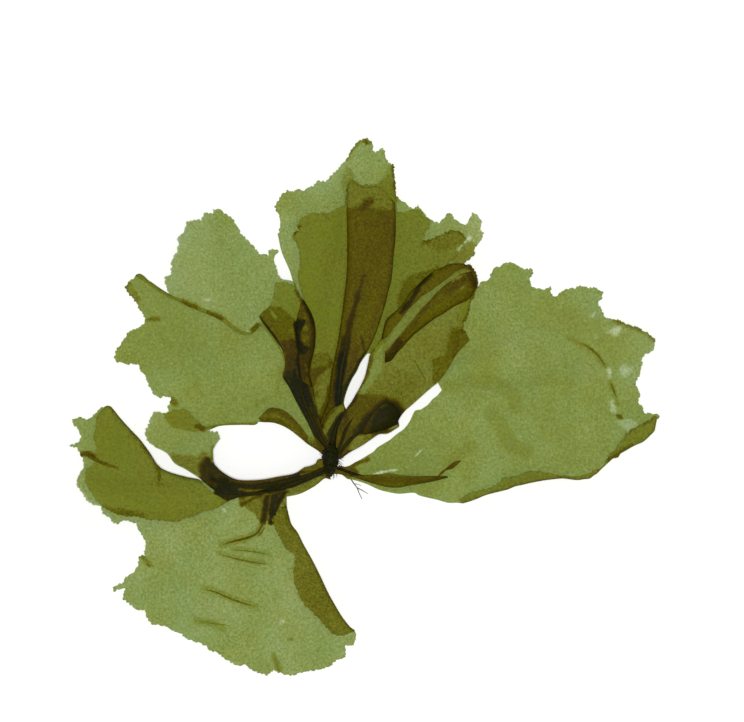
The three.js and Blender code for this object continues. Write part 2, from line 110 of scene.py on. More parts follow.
# Nearly black green with slightly paler grains: a dense mat of threads that lets no light through. The
# threads are about 0.02 mm thick, too fine to show, so the grains are 0.25 mm.
holdfast_tissue, tree = new_material("holdfast tissue")
place = add_node(tree, "ShaderNodeTexCoord")
grains = add_node(tree, "ShaderNodeTexNoise", {"Vector": place.outputs["Object"], "Scale": 1 / (0.25 * MM)})
tissue_colour = add_node(tree, "ShaderNodeMix", {
    "Factor": grains.outputs["Fac"], "A": linear("14160A"), "B": linear("26290F"),
}, data_type="RGBA")
grain_bump = add_node(tree, "ShaderNodeBump", {
    "Height": grains.outputs["Fac"], "Strength": 0.4, "Distance": 0.04 * MM,
})
tissue = add_node(tree, "ShaderNodeBsdfPrincipled", {
    "Base Color": tissue_colour.outputs["Result"], "Roughness": 0.7, "Specular IOR Level": 0.02,
    "Normal": grain_bump.outputs["Normal"],
})
add_node(tree, "ShaderNodeOutputMaterial", {"Surface": tissue.outputs["BSDF"]})

profile_across, profile_up = np.array(HOLDFAST_PROFILE).T
profile_step = np.linspace(0, 1, HOLDFAST_RINGS)
profile_place = np.linspace(0, 1, len(HOLDFAST_PROFILE))
rings_across = np.interp(profile_step, profile_place, profile_across)
rings_up = np.interp(profile_step, profile_place, profile_up)
vertices = [(0, 0, 0)]
for across, up in zip(rings_across, rings_up):
    for side in range(HOLDFAST_SIDES):
        turn = 2 * math.pi * side / HOLDFAST_SIDES
        x = HOLDFAST_RADIUS * across * math.cos(turn)
        y = HOLDFAST_RADIUS * HOLDFAST_STRETCH * across * math.sin(turn)
        z = HOLDFAST_HEIGHT * up
        reach = np.interp(math.degrees(turn), [*HOLDFAST_OUTLINE], [*HOLDFAST_OUTLINE.values()])
        reach += noise.noise(Vector((x, y, LUMP_STRETCH * z)) / LUMP_SIZE) * LUMP_HEIGHT * (up > 0)
        sink = noise.noise(Vector((x, y, TOP_SLICE)) / LUMP_SIZE) * LUMP_HEIGHT * (up > TOP_SHARE)
        vertices.append((x * reach, y * reach, z * (1 - max(sink, 0))))
vertices.append((0, 0, HOLDFAST_HEIGHT))
faces = []
for side in range(HOLDFAST_SIDES):
    after = (side + 1) % HOLDFAST_SIDES
    faces.append((0, 1 + after, 1 + side))
    for ring in range(HOLDFAST_RINGS - 1):
        low = 1 + ring * HOLDFAST_SIDES
        faces.append((low + side, low + after, low + HOLDFAST_SIDES + after, low + HOLDFAST_SIDES + side))
    last = 1 + (HOLDFAST_RINGS - 1) * HOLDFAST_SIDES
    faces.append((last + side, last + after, len(vertices) - 1))
holdfast = new_piece("holdfast_cushion", vertices, faces, holdfast_tissue)
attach(holdfast, "root")
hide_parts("holdfast")


# The left frond
# A wide film one layer of cells thick, which grows out of the holdfast by a gathered neck. Its top margin
# is rolled over, and its lower margin is folded up beside the neck.

# The plan was drawn over a picture of 744 by 722 pixels, and these lines are pixels of it.
MM_PER_PIXEL = 20 / 189  # 20 mm are 189 pixels
HOLDFAST_PIXEL = np.array([331, 459])

FILM = 0.14  # drawn thickness of a film, in millimetres like all the sizes
FILM_CLEARANCE = 0.05  # below the film, so that it lies on what is under it
LAYER_STEP = 0.95  # from one layer up to the next
LIFT_REACH = 3.6  # a frond keeps its lift for so far past what it lies on
SETTLE = 6  # and comes down over so much more

SPACING = 0.28  # between the points of a film
GATHERED_RADIUS = 17  # nearer the holdfast than this, the films have narrow folds and finer points
GATHERED_SPACING = 0.15
ROW_SHARE = 0.87  # between the rows of points, as a share of the spacing
POINT_SHIFT = 0.12  # each point is moved at random by up to this share of the spacing
BEND_ROWS = (0.12, 0.4, 1)  # the rows of points on each side of a bend, as shares of the bend's reach
BEND_GAP = 1.1  # other points keep this many times that reach away
OUTLINE_GAP = 0.045  # from an outline to the nearest point inside it
OUTLINE_STEP = 3  # every third point of an outline is enough to tell what lies over what
SAME_POINT = 0.02  # two points of an outline that are nearer than this are one
TEAR_STEP = 0.15  # between the small teeth of a torn margin
TEAR_REACH = 0.11  # how far a tooth stands out or in

WAVE_HEIGHT = 1.2  # of the waves that run out from the holdfast
WAVE_COUNT = 11
WAVE_TWIST = 0.11  # how far they swing round, in radians of a wave for each millimetre outward
WAVE_START = 4  # their distance from the holdfast where they begin
WAVE_FULL = 26  # and where they are fully grown
WAVE_BIAS = 0.35  # sinks them, so that the film lies flat between them
WAVE_SOFTNESS = 0.3  # of the change from flat to wave
SLOW_COUNT = 4  # broader waves among them
SLOW_SHARE = 0.5
RIPPLE_SIZE = 3.5  # small uneven ripples, on top of the waves
RIPPLE_HEIGHT = 0.1
RIPPLE_START = 6
RIPPLE_GROWTH = 10
FINE_RIPPLE_SIZE = 0.35  # share of the ripples' size
FINE_RIPPLE_HEIGHT = 0.4  # share of the ripples' height
FINE_RIPPLE_SLICE = 9  # where they are taken from the noise, well away from the others

OVERLAP = 1.5  # layers that a film shows by itself where another lies under it
BEND_LAYERS = 1.2  # more layers, seen edge on, where a film bends
BEND_WIDTH = 0.16
NECK_END = 1.5  # where a gathered neck is at its darkest, from the middle of the holdfast
NECK_FADE = 1.5  # how fast it lightens outward: more is faster
MARK_SIZE = 0.7  # the edges of darker and lighter marks wander a little
MARK_WANDER = 0.12
MARK_SLICE = 3  # where that is taken from the noise
STREAK_FULLNESS = 1.6  # how much of a streak's width has its full tone


def to_plan(pixels):
    """Plan points in millimetres, from pixels of the picture."""
    return (np.array(pixels, float) - HOLDFAST_PIXEL) * (MM_PER_PIXEL, -MM_PER_PIXEL)


def smooth(points):
    """A smooth line through pixel points, in millimetres."""
    p = to_plan(points)
    padded = np.vstack([2 * p[0] - p[1], p, 2 * p[-1] - p[-2]])
    line = [p[0]]
    for a, b, c, d in zip(padded, padded[1:], padded[2:], padded[3:]):
        count = max(1, round(np.linalg.norm(c - b) / SPACING))
        for t in np.arange(1, count + 1) / count:
            curve = 2 * b + (c - a) * t + (2 * a - 5 * b + 4 * c - d) * t ** 2
            curve = curve + (3 * b - 3 * c + d - a) * t ** 3
            line.append(curve / 2)
    return np.array(line)


def torn(points, seed):
    """A line through pixel points with small uneven teeth, in millimetres."""
    chance = np.random.default_rng(seed)
    p = to_plan(points)
    line = [p[0]]
    for a, b in zip(p, p[1:]):
        along = b - a
        length = np.linalg.norm(along)
        side = np.array([-along[1], along[0]]) / length
        count = max(1, round(length / TEAR_STEP))
        for i in range(1, count):
            line.append(a + along * i / count + side * chance.uniform(-TEAR_REACH, TEAR_REACH))
        line.append(b)
    return np.array(line)


def distance_to(line, points):
    """How far each point is from a line of at least one point."""
    nearest = np.full(len(points), np.inf)
    for a, b in zip(line, line[1:] if len(line) > 1 else line):
        side = b - a
        reach = points - a
        share = np.clip(reach @ side / max(side @ side, 1e-12), 0, 1)
        nearest = np.minimum(nearest, np.linalg.norm(reach - share[:, None] * side, axis=1))
    return nearest


def is_inside(outline, points):
    """Whether each point lies inside a closed outline."""
    inside = np.zeros(len(points), bool)
    for a, b in zip(outline, np.roll(outline, -1, axis=0)):
        if a[1] == b[1]:
            continue
        crosses = (a[1] > points[:, 1]) != (b[1] > points[:, 1])
        inside ^= crosses & (points[:, 0] < (b[0] - a[0]) * (points[:, 1] - a[1]) / (b[1] - a[1]) + a[0])
    return inside


def ease(share):
    """A smooth step from 0 to 1."""
    share = np.clip(share, 0, 1)
    return share * share * (3 - 2 * share)


def wave_height(points):
    """Height of the waves that run out from the holdfast, which all layers share."""
    radius = np.hypot(points[:, 0], points[:, 1])
    turn = np.arctan2(points[:, 1], points[:, 0])
    swell = np.sin(WAVE_COUNT * turn + WAVE_TWIST * radius) + SLOW_SHARE * np.sin(SLOW_COUNT * turn)
    grown = ease((radius - WAVE_START) / (WAVE_FULL - WAVE_START))
    wave = WAVE_HEIGHT * grown * (swell - WAVE_BIAS)
    return (wave + np.hypot(wave, WAVE_SOFTNESS * grown)) / 2


def lift_of(name, points):
    """How far a frond is lifted by the fronds that it lies over."""
    lift = np.zeros(len(points))
    for lower in lies_over[name]:
        outline = outlines[lower]
        from_edge = distance_to(np.vstack([outline, outline[:1]]), points)
        away = np.where(is_inside(outline, points), 0, from_edge)
        share = 1 - ease((away - LIFT_REACH) / SETTLE)
        lift = np.maximum(lift, share * (lift_of(lower, points) + LAYER_STEP))
    return lift


def ripple_height(points):
    """Small uneven ripples. They fade out near the holdfast."""
    away = ease((np.hypot(points[:, 0], points[:, 1]) - RIPPLE_START) / RIPPLE_GROWTH)
    fine_size = FINE_RIPPLE_SIZE * RIPPLE_SIZE
    uneven = []
    for x, y in points:
        coarse = noise.noise(Vector((x, y, 0)) / RIPPLE_SIZE)
        fine = noise.noise(Vector((x, y, FINE_RIPPLE_SLICE)) / fine_size)
        uneven.append(coarse + FINE_RIPPLE_HEIGHT * fine)
    return away * RIPPLE_HEIGHT * np.array(uneven)


def film_height(name, points, level):
    """Height of the middle of a frond's film, or of a fold at that level above it."""
    height = wave_height(points) + lift_of(name, points) + ripple_height(points) * (level == 0) + level
    return np.maximum(height, 0) + FILM_CLEARANCE + FILM / 2


def fill(outline, bends, seed):
    """Plan points and triangles that fill an outline, with rows of points along each line of a bend."""
    chance = np.random.default_rng(seed)
    low, high = outline.min(0), outline.max(0)
    inner = np.empty((0, 2))
    grids = ((SPACING, GATHERED_RADIUS, math.inf), (GATHERED_SPACING, 0, GATHERED_RADIUS))
    for spacing, nearest, farthest in grids:
        columns, rows = np.meshgrid(
            np.arange(low[0], high[0], spacing), np.arange(low[1], high[1], ROW_SHARE * spacing),
        )
        columns[1::2] += spacing / 2
        spots = np.column_stack([columns.ravel(), rows.ravel()])
        radius = np.hypot(spots[:, 0], spots[:, 1])
        spots = spots[(radius >= nearest) & (radius < farthest)]
        inner = np.vstack([inner, spots + chance.uniform(-POINT_SHIFT, POINT_SHIFT, spots.shape) * spacing])
    for line, target, level in bends:
        reach = abs(target - level)
        inner = inner[distance_to(line, inner) > BEND_GAP * reach]
        along = np.gradient(line, axis=0)
        side = np.column_stack([-along[:, 1], along[:, 0]]) / np.linalg.norm(along, axis=1)[:, None]
        for share in BEND_ROWS:
            inner = np.vstack([inner, line + side * reach * share, line - side * reach * share])
    closed = np.vstack([outline, outline[:1]])
    inner = inner[is_inside(outline, inner)]
    inner = inner[distance_to(closed, inner) > OUTLINE_GAP]
    points = [Vector(p) for p in np.vstack([outline, inner])]
    ring = [(i, (i + 1) % len(outline)) for i in range(len(outline))]
    plan, _, faces, *_ = geometry.delaunay_2d_cdt(points, ring, [], 1, 1e-4)
    return np.array(plan), [tuple(face) for face in faces]


def paint(points, start, streaks, patches):
    """How many layers of tissue each point shows. A streak has its line, how far it reaches to each side, and
    its number of layers. A patch has its outline, the softness of its edge, and its number of layers."""
    layers = start.copy()
    if not streaks and not patches:
        return layers
    uneven = [noise.noise(Vector((x, y, MARK_SLICE)) / MARK_SIZE) for x, y in points]
    wander = MARK_WANDER * np.array(uneven)
    for pixels, soft, value in patches.values():
        outline = to_plan(pixels)
        from_edge = distance_to(np.vstack([outline, outline[:1]]), points)
        away = np.where(is_inside(outline, points), 0, from_edge)
        layers += (value - layers) * ease(1 - (away + wander) / soft)
    for pixels, reach, value in streaks.values():
        line = to_plan(pixels)
        nearness = 1 - (distance_to(line, points) + wander) / reach
        layers += (value - layers) * ease(STREAK_FULLNESS * nearness)
    return layers


def new_frond(name, runs, over, neck, folds=(), streaks=None, patches=None, seed=0, own=1.0):
    """A frond from the runs of its outline, over those named. The neck is a radius and the number of layers
    that it gathers to, and own is the film's number. Each fold is one more sheet: the line where it joins,
    its free edge, how far it rises and how many layers it shows. On the frond's margin the film bends up to
    meet it. A floor is the number of layers under it, lifted is the line where a further fold joins it, and
    up says that its upper side faces up again."""
    lies_over[name] = over
    outline = np.vstack(runs)
    outline = outline[np.linalg.norm(outline - np.roll(outline, 1, axis=0), axis=1) > SAME_POINT]
    outlines[name] = outline[::OUTLINE_STEP]
    marks = [{"streaks": streaks or {}, "patches": patches or {}}, *folds]
    sheets = [(outline, 0.0, [(f["line"], f["rise"] / 2, 0.0) for f in folds if f["margin"]], True, own)]
    for f in folds:
        floor = f.get("floor", 0) * LAYER_STEP
        level = floor + f["rise"]
        target = floor + f["rise"] / 2 if f["margin"] else floor + FILM
        bends = [(f["line"], target, level)]
        if "lifted" in f:
            bends.append((f["lifted"], level + LAYER_STEP / 2, level))
        sheets.append((np.vstack([f["line"], f["free"]]), level, bends, f.get("up", False), f["layers"]))
    vertices = []
    layers = []
    faces = []
    numbers = {}
    for index, (sheet, level, bends, up, sheet_layers) in enumerate(sheets):
        plan, triangles = fill(sheet, bends, seed + index)
        radius = np.hypot(plan[:, 0], plan[:, 1])
        rise = np.zeros(len(plan))
        start = np.full(len(plan), sheet_layers)
        if index == 0:
            for lower in over:
                start = np.where(is_inside(outlines[lower], plan), np.maximum(start, OVERLAP), start)
        for line, target, before in bends:
            distance = distance_to(line, plan)
            away = np.clip(distance / abs(target - before), 0, 1)
            rise += (target - before) * (1 - np.sqrt(np.clip(1 - (1 - away) ** 2, 0, 1)))
            start += BEND_LAYERS * (1 - ease(distance / BEND_WIDTH))
        gathered = ease((neck[0] - radius) / (neck[0] - NECK_END)) ** NECK_FADE
        start += (neck[1] - start) * gathered * (neck[1] > start)
        shown = paint(plan, start, marks[index].get("streaks", {}), marks[index].get("patches", {}))
        height = film_height(name, plan, level) + rise
        corners = []
        for (x, y), z, shade in zip(plan, height, shown):
            key = (round(x, 3), round(y, 3), round(z, 3))
            if key not in numbers:
                numbers[key] = len(vertices)
                vertices.append((x, y, z))
                layers.append(shade)
            corners.append(numbers[key])
        for a, b, c in triangles:
            if len({corners[a], corners[b], corners[c]}) == 3:
                side_1 = plan[b] - plan[a]
                side_2 = plan[c] - plan[a]
                turns_left = side_1[0] * side_2[1] > side_1[1] * side_2[0]
                second, third = (b, c) if turns_left == up else (c, b)
                faces.append((corners[a], corners[second], corners[third]))
    piece = new_piece(name + "_film", vertices, faces, film)
    attribute = piece.data.attributes.new("layers", "FLOAT", "POINT")
    attribute.data.foreach_set("value", np.array(layers, np.float32))
    thickness = piece.modifiers.new("film thickness", "SOLIDIFY")
    thickness.thickness = FILM * MM
    thickness.offset = 0
    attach(piece, "root")
    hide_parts(name)
    return piece


# Green film that lets much of the light through to the surface under it. The attribute "layers" says how
# many layers of tissue lie on each other there: more of them turn it olive, then brown, then nearly black.
# Its cells are about 0.01 mm across, too fine to show, so patterns of 0.25 and 0.4 mm stand for them.
FILM_COVER = 0.2  # share of the light that one face of one layer stops by itself
MOST_LAYERS = 12
FILM_TONES = {  # the colour of so many layers
    1: "A9B80D", 1.5: "ACB14C", 2: "9EA043", 3: "77730F",
    4: "655B0C", 6: "46380A", 8: "2C2A08", 12: "12150A",
}
film, tree = new_material("seaweed film")
count = add_node(tree, "ShaderNodeAttribute", attribute_name="layers")
place = add_node(tree, "ShaderNodeTexCoord")
mottle = add_node(tree, "ShaderNodeTexNoise", {
    "Vector": place.outputs["Object"], "Scale": 1 / (7 * MM), "Detail": 5.0, "Roughness": 0.6,
})
cells = add_node(tree, "ShaderNodeTexNoise", {
    "Vector": place.outputs["Object"], "Scale": 1 / (0.25 * MM), "Detail": 3.0, "Roughness": 0.75,
})
mottle_share = add_node(tree, "ShaderNodeMapRange", {
    "Value": mottle.outputs["Fac"], "From Min": 0.3, "From Max": 0.7, "To Min": 0.83, "To Max": 1.17,
})
cell_offset = add_node(tree, "ShaderNodeMapRange", {
    "Value": cells.outputs["Fac"], "From Min": 0.3, "From Max": 0.7, "To Min": -0.3, "To Max": 0.3,
})
even_depth = add_node(tree, "ShaderNodeMath", {
    0: count.outputs["Fac"], 1: mottle_share.outputs["Result"],
}, operation="MULTIPLY")
grain_growth = add_node(tree, "ShaderNodeMath", {0: count.outputs["Fac"], 1: 0.2}, operation="POWER")
depth = add_node(tree, "ShaderNodeMath", {
    0: cell_offset.outputs["Result"], 1: grain_growth.outputs["Value"], 2: even_depth.outputs["Value"],
}, operation="MULTIPLY_ADD")
ramp_place = add_node(tree, "ShaderNodeMath", {
    0: depth.outputs["Value"], 1: MOST_LAYERS,
}, operation="DIVIDE")
tones = add_node(tree, "ShaderNodeValToRGB", {"Fac": ramp_place.outputs["Value"]})
ramp = tones.color_ramp
for number, (layer_count, colour) in enumerate(FILM_TONES.items()):
    stop = ramp.elements[number] if number < 2 else ramp.elements.new(layer_count / MOST_LAYERS)
    stop.position = layer_count / MOST_LAYERS
    stop.color = linear(colour)
clear_share = add_node(tree, "ShaderNodeMath", {
    0: 1 - FILM_COVER, 1: depth.outputs["Value"],
}, operation="POWER")
blotches = add_node(tree, "ShaderNodeTexNoise", {
    "Vector": place.outputs["Object"], "Scale": 1 / (0.4 * MM), "Detail": 4.0, "Roughness": 0.7,
})
clouds = add_node(tree, "ShaderNodeTexNoise", {
    "Vector": place.outputs["Object"], "Scale": 1 / (6 * MM), "Detail": 3.0, "Roughness": 0.6,
})
both = add_node(tree, "ShaderNodeMath", {
    0: blotches.outputs["Fac"], 1: clouds.outputs["Fac"],
}, operation="ADD")
blotch_share = add_node(tree, "ShaderNodeMapRange", {
    "Value": both.outputs["Value"], "From Min": 0.64, "From Max": 1.36,
})
tint = add_node(tree, "ShaderNodeMix", {
    "Factor": blotch_share.outputs["Result"], "A": linear("FFF3C6"), "B": linear("F6FFDE"),
}, data_type="RGBA")
tinted = add_node(tree, "ShaderNodeMix", {
    "Factor": 1.0, "A": tones.outputs["Color"], "B": tint.outputs["Result"],
}, data_type="RGBA", blend_type="MULTIPLY")
grain = add_node(tree, "ShaderNodeMapRange", {
    "Value": cells.outputs["Fac"], "From Min": 0.3, "From Max": 0.7, "To Min": 1.36, "To Max": 0.64,
})
grained = add_node(tree, "ShaderNodeVectorMath", {
    0: tinted.outputs["Result"], "Scale": grain.outputs["Result"],
}, operation="SCALE")
clear_tint = add_node(tree, "ShaderNodeMix", {
    "Factor": blotch_share.outputs["Result"], "A": linear("DDE1CD"), "B": linear("D9E2D9"),
}, data_type="RGBA")
passed = add_node(tree, "ShaderNodeGamma", {
    "Color": clear_tint.outputs["Result"], "Gamma": depth.outputs["Value"],
})
clear = add_node(tree, "ShaderNodeBsdfTransparent", {"Color": passed.outputs["Color"]})
body = add_node(tree, "ShaderNodeBsdfPrincipled", {
    "Base Color": grained.outputs["Vector"], "Roughness": 0.6, "Specular IOR Level": 0.04,
})
film_surface = add_node(tree, "ShaderNodeMixShader", {
    0: clear_share.outputs["Value"], 1: body.outputs["BSDF"], 2: clear.outputs["BSDF"],
})
add_node(tree, "ShaderNodeOutputMaterial", {"Surface": film_surface.outputs["Shader"]})

outlines = {}
lies_over = {}

LEFT_TOP_ROLL = [
    (136, 275), (139, 274), (143, 276), (147, 280), (153, 284), (160, 289), (173, 296.5), (187, 301),
]
LEFT_TOP_ROLL_FREE = [
    (188, 303), (180, 301.5), (171, 298.5), (158, 291.5), (148, 284.5), (141, 279.5), (137, 277),
]
LEFT_BASE_FOLD = [(307, 443), (300, 437), (288, 428), (275, 422.5), (262, 421.5)]
LEFT_BASE_FOLD_FREE = [(259, 418), (268, 409), (275, 408), (284, 410.5), (292, 417), (301, 427), (308, 437)]
LEFT_LOWER_MARGIN = [
    (258, 422), (255, 425), (240, 425), (220, 426), (209, 430), (200, 430.5), (194, 432), (185, 430),
    (172, 427), (167, 421),
]
LEFT_OUTER_MARGIN = [
    (167, 421), (162, 414), (169, 412), (167, 407), (171, 400), (170, 397), (164, 396), (160, 398.5),
    (153, 394), (149, 387), (145, 377), (140, 370), (137, 364), (127, 364.5), (116, 362), (113.5, 358),
    (116, 349), (123, 340), (129, 331), (136, 328), (144, 324), (145, 318), (139, 309), (136, 303),
    (126, 291), (124, 286.5), (130, 279.5), (133, 279),
]
LEFT_UPPER_SIDE = [
    (200, 307.5), (215, 312.5), (225, 318), (232, 324), (240, 330), (247, 332), (252, 331), (260, 322),
    (266, 327), (272, 335), (279, 346), (285, 360), (288, 374), (293, 388), (300, 401), (307, 415),
    (313, 430), (318, 441), (326, 450),
]
LEFT_NECK = [(326, 458), (318, 451)]
new_frond(
    "left_frond",
    [
        smooth(LEFT_NECK), smooth(LEFT_BASE_FOLD), smooth(LEFT_LOWER_MARGIN), torn(LEFT_OUTER_MARGIN, 11),
        smooth(LEFT_TOP_ROLL), smooth(LEFT_UPPER_SIDE),
    ],
    over=[],
    neck=(4, 5),
    folds=[
        {
            "line": smooth(LEFT_TOP_ROLL), "free": smooth(LEFT_TOP_ROLL_FREE), "rise": 0.5,
            "margin": True, "layers": 1.3,
        },
        {
            "line": smooth(LEFT_BASE_FOLD), "free": smooth(LEFT_BASE_FOLD_FREE), "rise": 0.95,
            "margin": True, "layers": 2.3,
            "streaks": {
                "upper band": (
                    [(264, 409), (275, 408), (284, 412), (292, 418), (301, 428), (309, 437)], 0.7, 4.2,
                ),
                "lower band": ([(257, 420), (270, 418.5), (282, 421), (292, 426)], 0.3, 3.4),
            },
        },
    ],
    streaks={
        "dark notch": ([(171, 400), (175, 403)], 0.4, 3),
        "dark edge": ([(205, 428), (220, 425.5), (240, 424.5), (255, 424)], 0.25, 2.5),
        "inner arc": ([(279, 368), (280, 375), (279, 385), (275, 395), (268, 400), (258, 402)], 0.5, 1.3),
        "top strip": ([(187, 302), (205, 309), (225, 319)], 0.3, 1.5),
        "brown tip": ([(127, 286), (131, 292), (135, 299)], 0.6, 2.1),
        "tip's dark corner": ([(125, 286), (128, 283)], 0.25, 3),
        "crease in the side": ([(146, 320), (152, 319), (158, 319)], 0.22, 2.6),
    },
    seed=20,
    own=1.16,
)


# The right frond
# The largest film. Its tip is folded back, its lower margin is rolled up, and a narrow pleat runs out from
# its neck. Small bleached places beside the tip have lost most of their green.

RIGHT_UPPER_NECK = [
    (332, 468), (341, 466), (345, 467), (350, 465.5), (355, 462.5), (360, 460), (365, 457), (370, 454),
    (374, 451.5), (377, 448), (385, 443), (390, 440), (397, 434), (404, 429), (410, 421), (415, 411),
    (420, 410), (428, 405), (432, 400), (437, 396), (442, 390),
]
RIGHT_HIDDEN_SIDE = [
    (437, 381), (444, 366), (452, 354), (459, 343), (458, 330), (457, 318), (461, 306), (467, 296),
]
RIGHT_MARGIN = [
    (467, 296), (472, 290), (478, 286), (483, 281), (488, 280), (492, 273), (494, 268), (501, 266),
    (505, 263), (510, 261.5), (518, 265.5), (526, 269), (532, 268.5), (534, 273), (530, 279), (531.5, 286),
    (536, 288.5), (545, 289.5), (551.5, 286), (551, 292), (553, 296), (557, 296), (562, 291), (570, 288),
    (576, 288.5), (580, 285), (588, 287.5), (597, 287.5), (603, 291), (603, 298), (598, 303), (601, 309),
    (605, 317), (612, 319.5), (619, 320.5), (625, 324), (636, 327), (646, 332), (655, 340), (653.5, 350),
    (646, 353.5), (642, 358), (641.5, 368), (638, 380), (635, 382), (640, 393), (639, 403), (643, 407),
    (644, 413), (651, 413), (659, 415), (660, 417), (656, 422),
]
RIGHT_TIP_FOLD = [
    (656, 422), (655, 427), (654, 431), (650, 435), (646, 439), (642, 442), (637, 444), (631, 447),
    (626, 450), (620, 453.5), (618, 457), (613, 458), (609, 461.5),
]
RIGHT_TIP_FREE = [
    (605, 462), (611, 455), (616, 449), (620, 443), (623, 438), (627, 433), (634, 428), (641, 424.5),
    (650, 420), (656.5, 416),
]
RIGHT_LOWER_ROLL = [
    (600, 470), (597, 473), (593, 475.5), (590, 478), (585, 478.5), (578, 479.5), (572, 479), (565, 478),
    (560, 478), (550, 479), (540, 480.5), (530, 482.5), (522, 484.5), (515, 486), (508, 489), (500, 491),
    (492, 493), (485, 495), (478, 498), (470, 501), (463, 503),
]
RIGHT_LOWER_ROLL_FREE = [
    (460, 500), (465, 496), (472, 492), (480, 490), (490, 488), (497, 485), (502, 479), (510, 477.5),
    (518, 477), (524, 473), (532, 471), (540, 470.5), (547, 473), (560, 476), (575, 476.5), (588, 474),
    (598, 469),
]
RIGHT_LOWER_NECK = [
    (457, 503), (448, 503), (437, 500), (420, 496), (414, 493), (399, 494), (387, 492), (378, 489.5),
    (366, 484), (353, 480), (347, 479), (342, 475), (332, 474),
]
RIGHT_BASE_PLEAT = [
    (366, 481), (380, 485), (390, 487), (400, 487), (410, 485), (425, 482.5), (435, 480.5), (448, 477),
]
RIGHT_BASE_PLEAT_FREE = [(440, 476.5), (410, 476), (390, 473.5), (380, 474.5), (360, 475.5), (350, 475.5)]
new_frond(
    "right_frond",
    [
        smooth(RIGHT_UPPER_NECK), smooth(RIGHT_HIDDEN_SIDE), torn(RIGHT_MARGIN, 31), smooth(RIGHT_TIP_FOLD),
        smooth(RIGHT_LOWER_ROLL), smooth(RIGHT_LOWER_NECK),
    ],
    over=[],
    neck=(4, 4),
    folds=[
        {
            "line": smooth(RIGHT_TIP_FOLD), "free": torn(RIGHT_TIP_FREE, 32), "rise": 0.95, "margin": True,
            "layers": 1.6,
            "streaks": {
                "darker edge": ([(608, 461), (613, 457), (622, 451), (632, 446)], 0.4, 3.2),
                "brown upper edge": ([(628, 432), (636, 427), (645, 423), (653, 418)], 0.3, 2.8),
            },
        },
        {
            "line": smooth(RIGHT_LOWER_ROLL), "free": torn(RIGHT_LOWER_ROLL_FREE, 33), "rise": 0.5,
            "margin": True, "layers": 1.8,
        },
        {
            "line": smooth(RIGHT_BASE_PLEAT), "free": smooth(RIGHT_BASE_PLEAT_FREE), "rise": 0.8,
            "margin": False, "layers": 2.7,
            "streaks": {"brown middle": ([(355, 478), (380, 479), (410, 480), (440, 478)], 0.5, 4.2)},
        },
    ],
    streaks={
        "soft crease beside the tip": ([(568, 338), (583, 345), (596, 354), (606, 367)], 0.35, 1.7),
        "soft crease's end": ([(610, 381), (615, 394), (618, 404)], 0.3, 1.7),
        "dark spot": ([(619, 416), (621, 418)], 0.25, 3.5),
        "rolled tip edge": ([(614, 320), (625, 324.5), (636, 328), (646, 333), (655, 341)], 0.25, 2.8),
        "light streak by the neck": ([(373, 474), (386, 471.5), (402, 469)], 0.16, 0.4),
        "light streak by the notch": ([(416, 456), (424, 448)], 0.14, 0.4),
        # Painted shade: the three broad wave streaks are soft darker bands that stand for the shading of
        # broad waves in the film.
        "painted shade of broad wave 1": (
            [(448, 386), (466, 380), (490, 381), (505, 388), (514, 397), (517, 407)], 1.0, 1.4,
        ),
        "painted shade of broad wave 2": ([(492, 414), (500, 424), (506, 436), (513, 446), (526, 450)], 1.1, 1.42),
        "painted shade of broad wave 3": ([(450, 463), (460, 453), (472, 446)], 0.9, 1.4),
        "brown spots on the neck's edge": ([(352, 465.5), (360, 462.5), (368, 459.5)], 0.28, 3.4),
    },
    patches={
        "bleached ring": ([(606, 328), (608.5, 326), (609, 330), (611, 334), (608, 334)], 0.1, 0.65),
        "bleached patch 1": (
            [(611, 331), (614, 328), (619, 327), (621, 330), (618, 334), (613, 335)], 0.2, 0.5,
        ),
        "bleached dot 1": ([(592, 338), (593, 334.5), (596, 335), (597, 338), (594.5, 339)], 0.1, 0.5),
        "bleached dot 2": ([(591, 316.5), (594, 313), (597, 312), (595.5, 315), (593, 317)], 0.1, 0.55),
        "bleached strip": (
            [(607.5, 367), (610, 368), (611, 374), (612, 381), (609, 378), (607.5, 372)], 0.12, 0.45,
        ),
        "bleached patch 2": (
            [(620, 369), (624, 365), (629, 368), (635, 366), (629, 371), (628, 375), (623, 377),
             (621, 374)],
            0.2, 0.68,
        ),
        "bleached strip 2": (
            [(611, 402), (614, 399), (615, 405), (617, 413), (613, 412), (611, 408)], 0.2, 0.55,
        ),
        "bleached patch 3": (
            [(618, 421), (623, 422), (627, 420.5), (633, 422), (638, 423.5), (634, 428), (628, 430),
             (623, 427)],
            0.25, 0.74,
        ),
        "darker start": (
            [(355, 466), (372, 456), (400, 440), (415, 445), (412, 468), (390, 480), (370, 478)], 1.5, 1.25,
        ),
        "brown start": (
            [(338, 466), (345, 468), (352, 468), (357, 472), (352, 475), (344, 474), (338, 470)], 0.3, 4.5,
        ),
    },
    seed=30,
    own=1.12,
)


# The top back frond
# The tall film at the top, one layer thick, of which only the upper margins show beside the frond on it. It
# is the lowest film there, and grows out of the holdfast's far side.

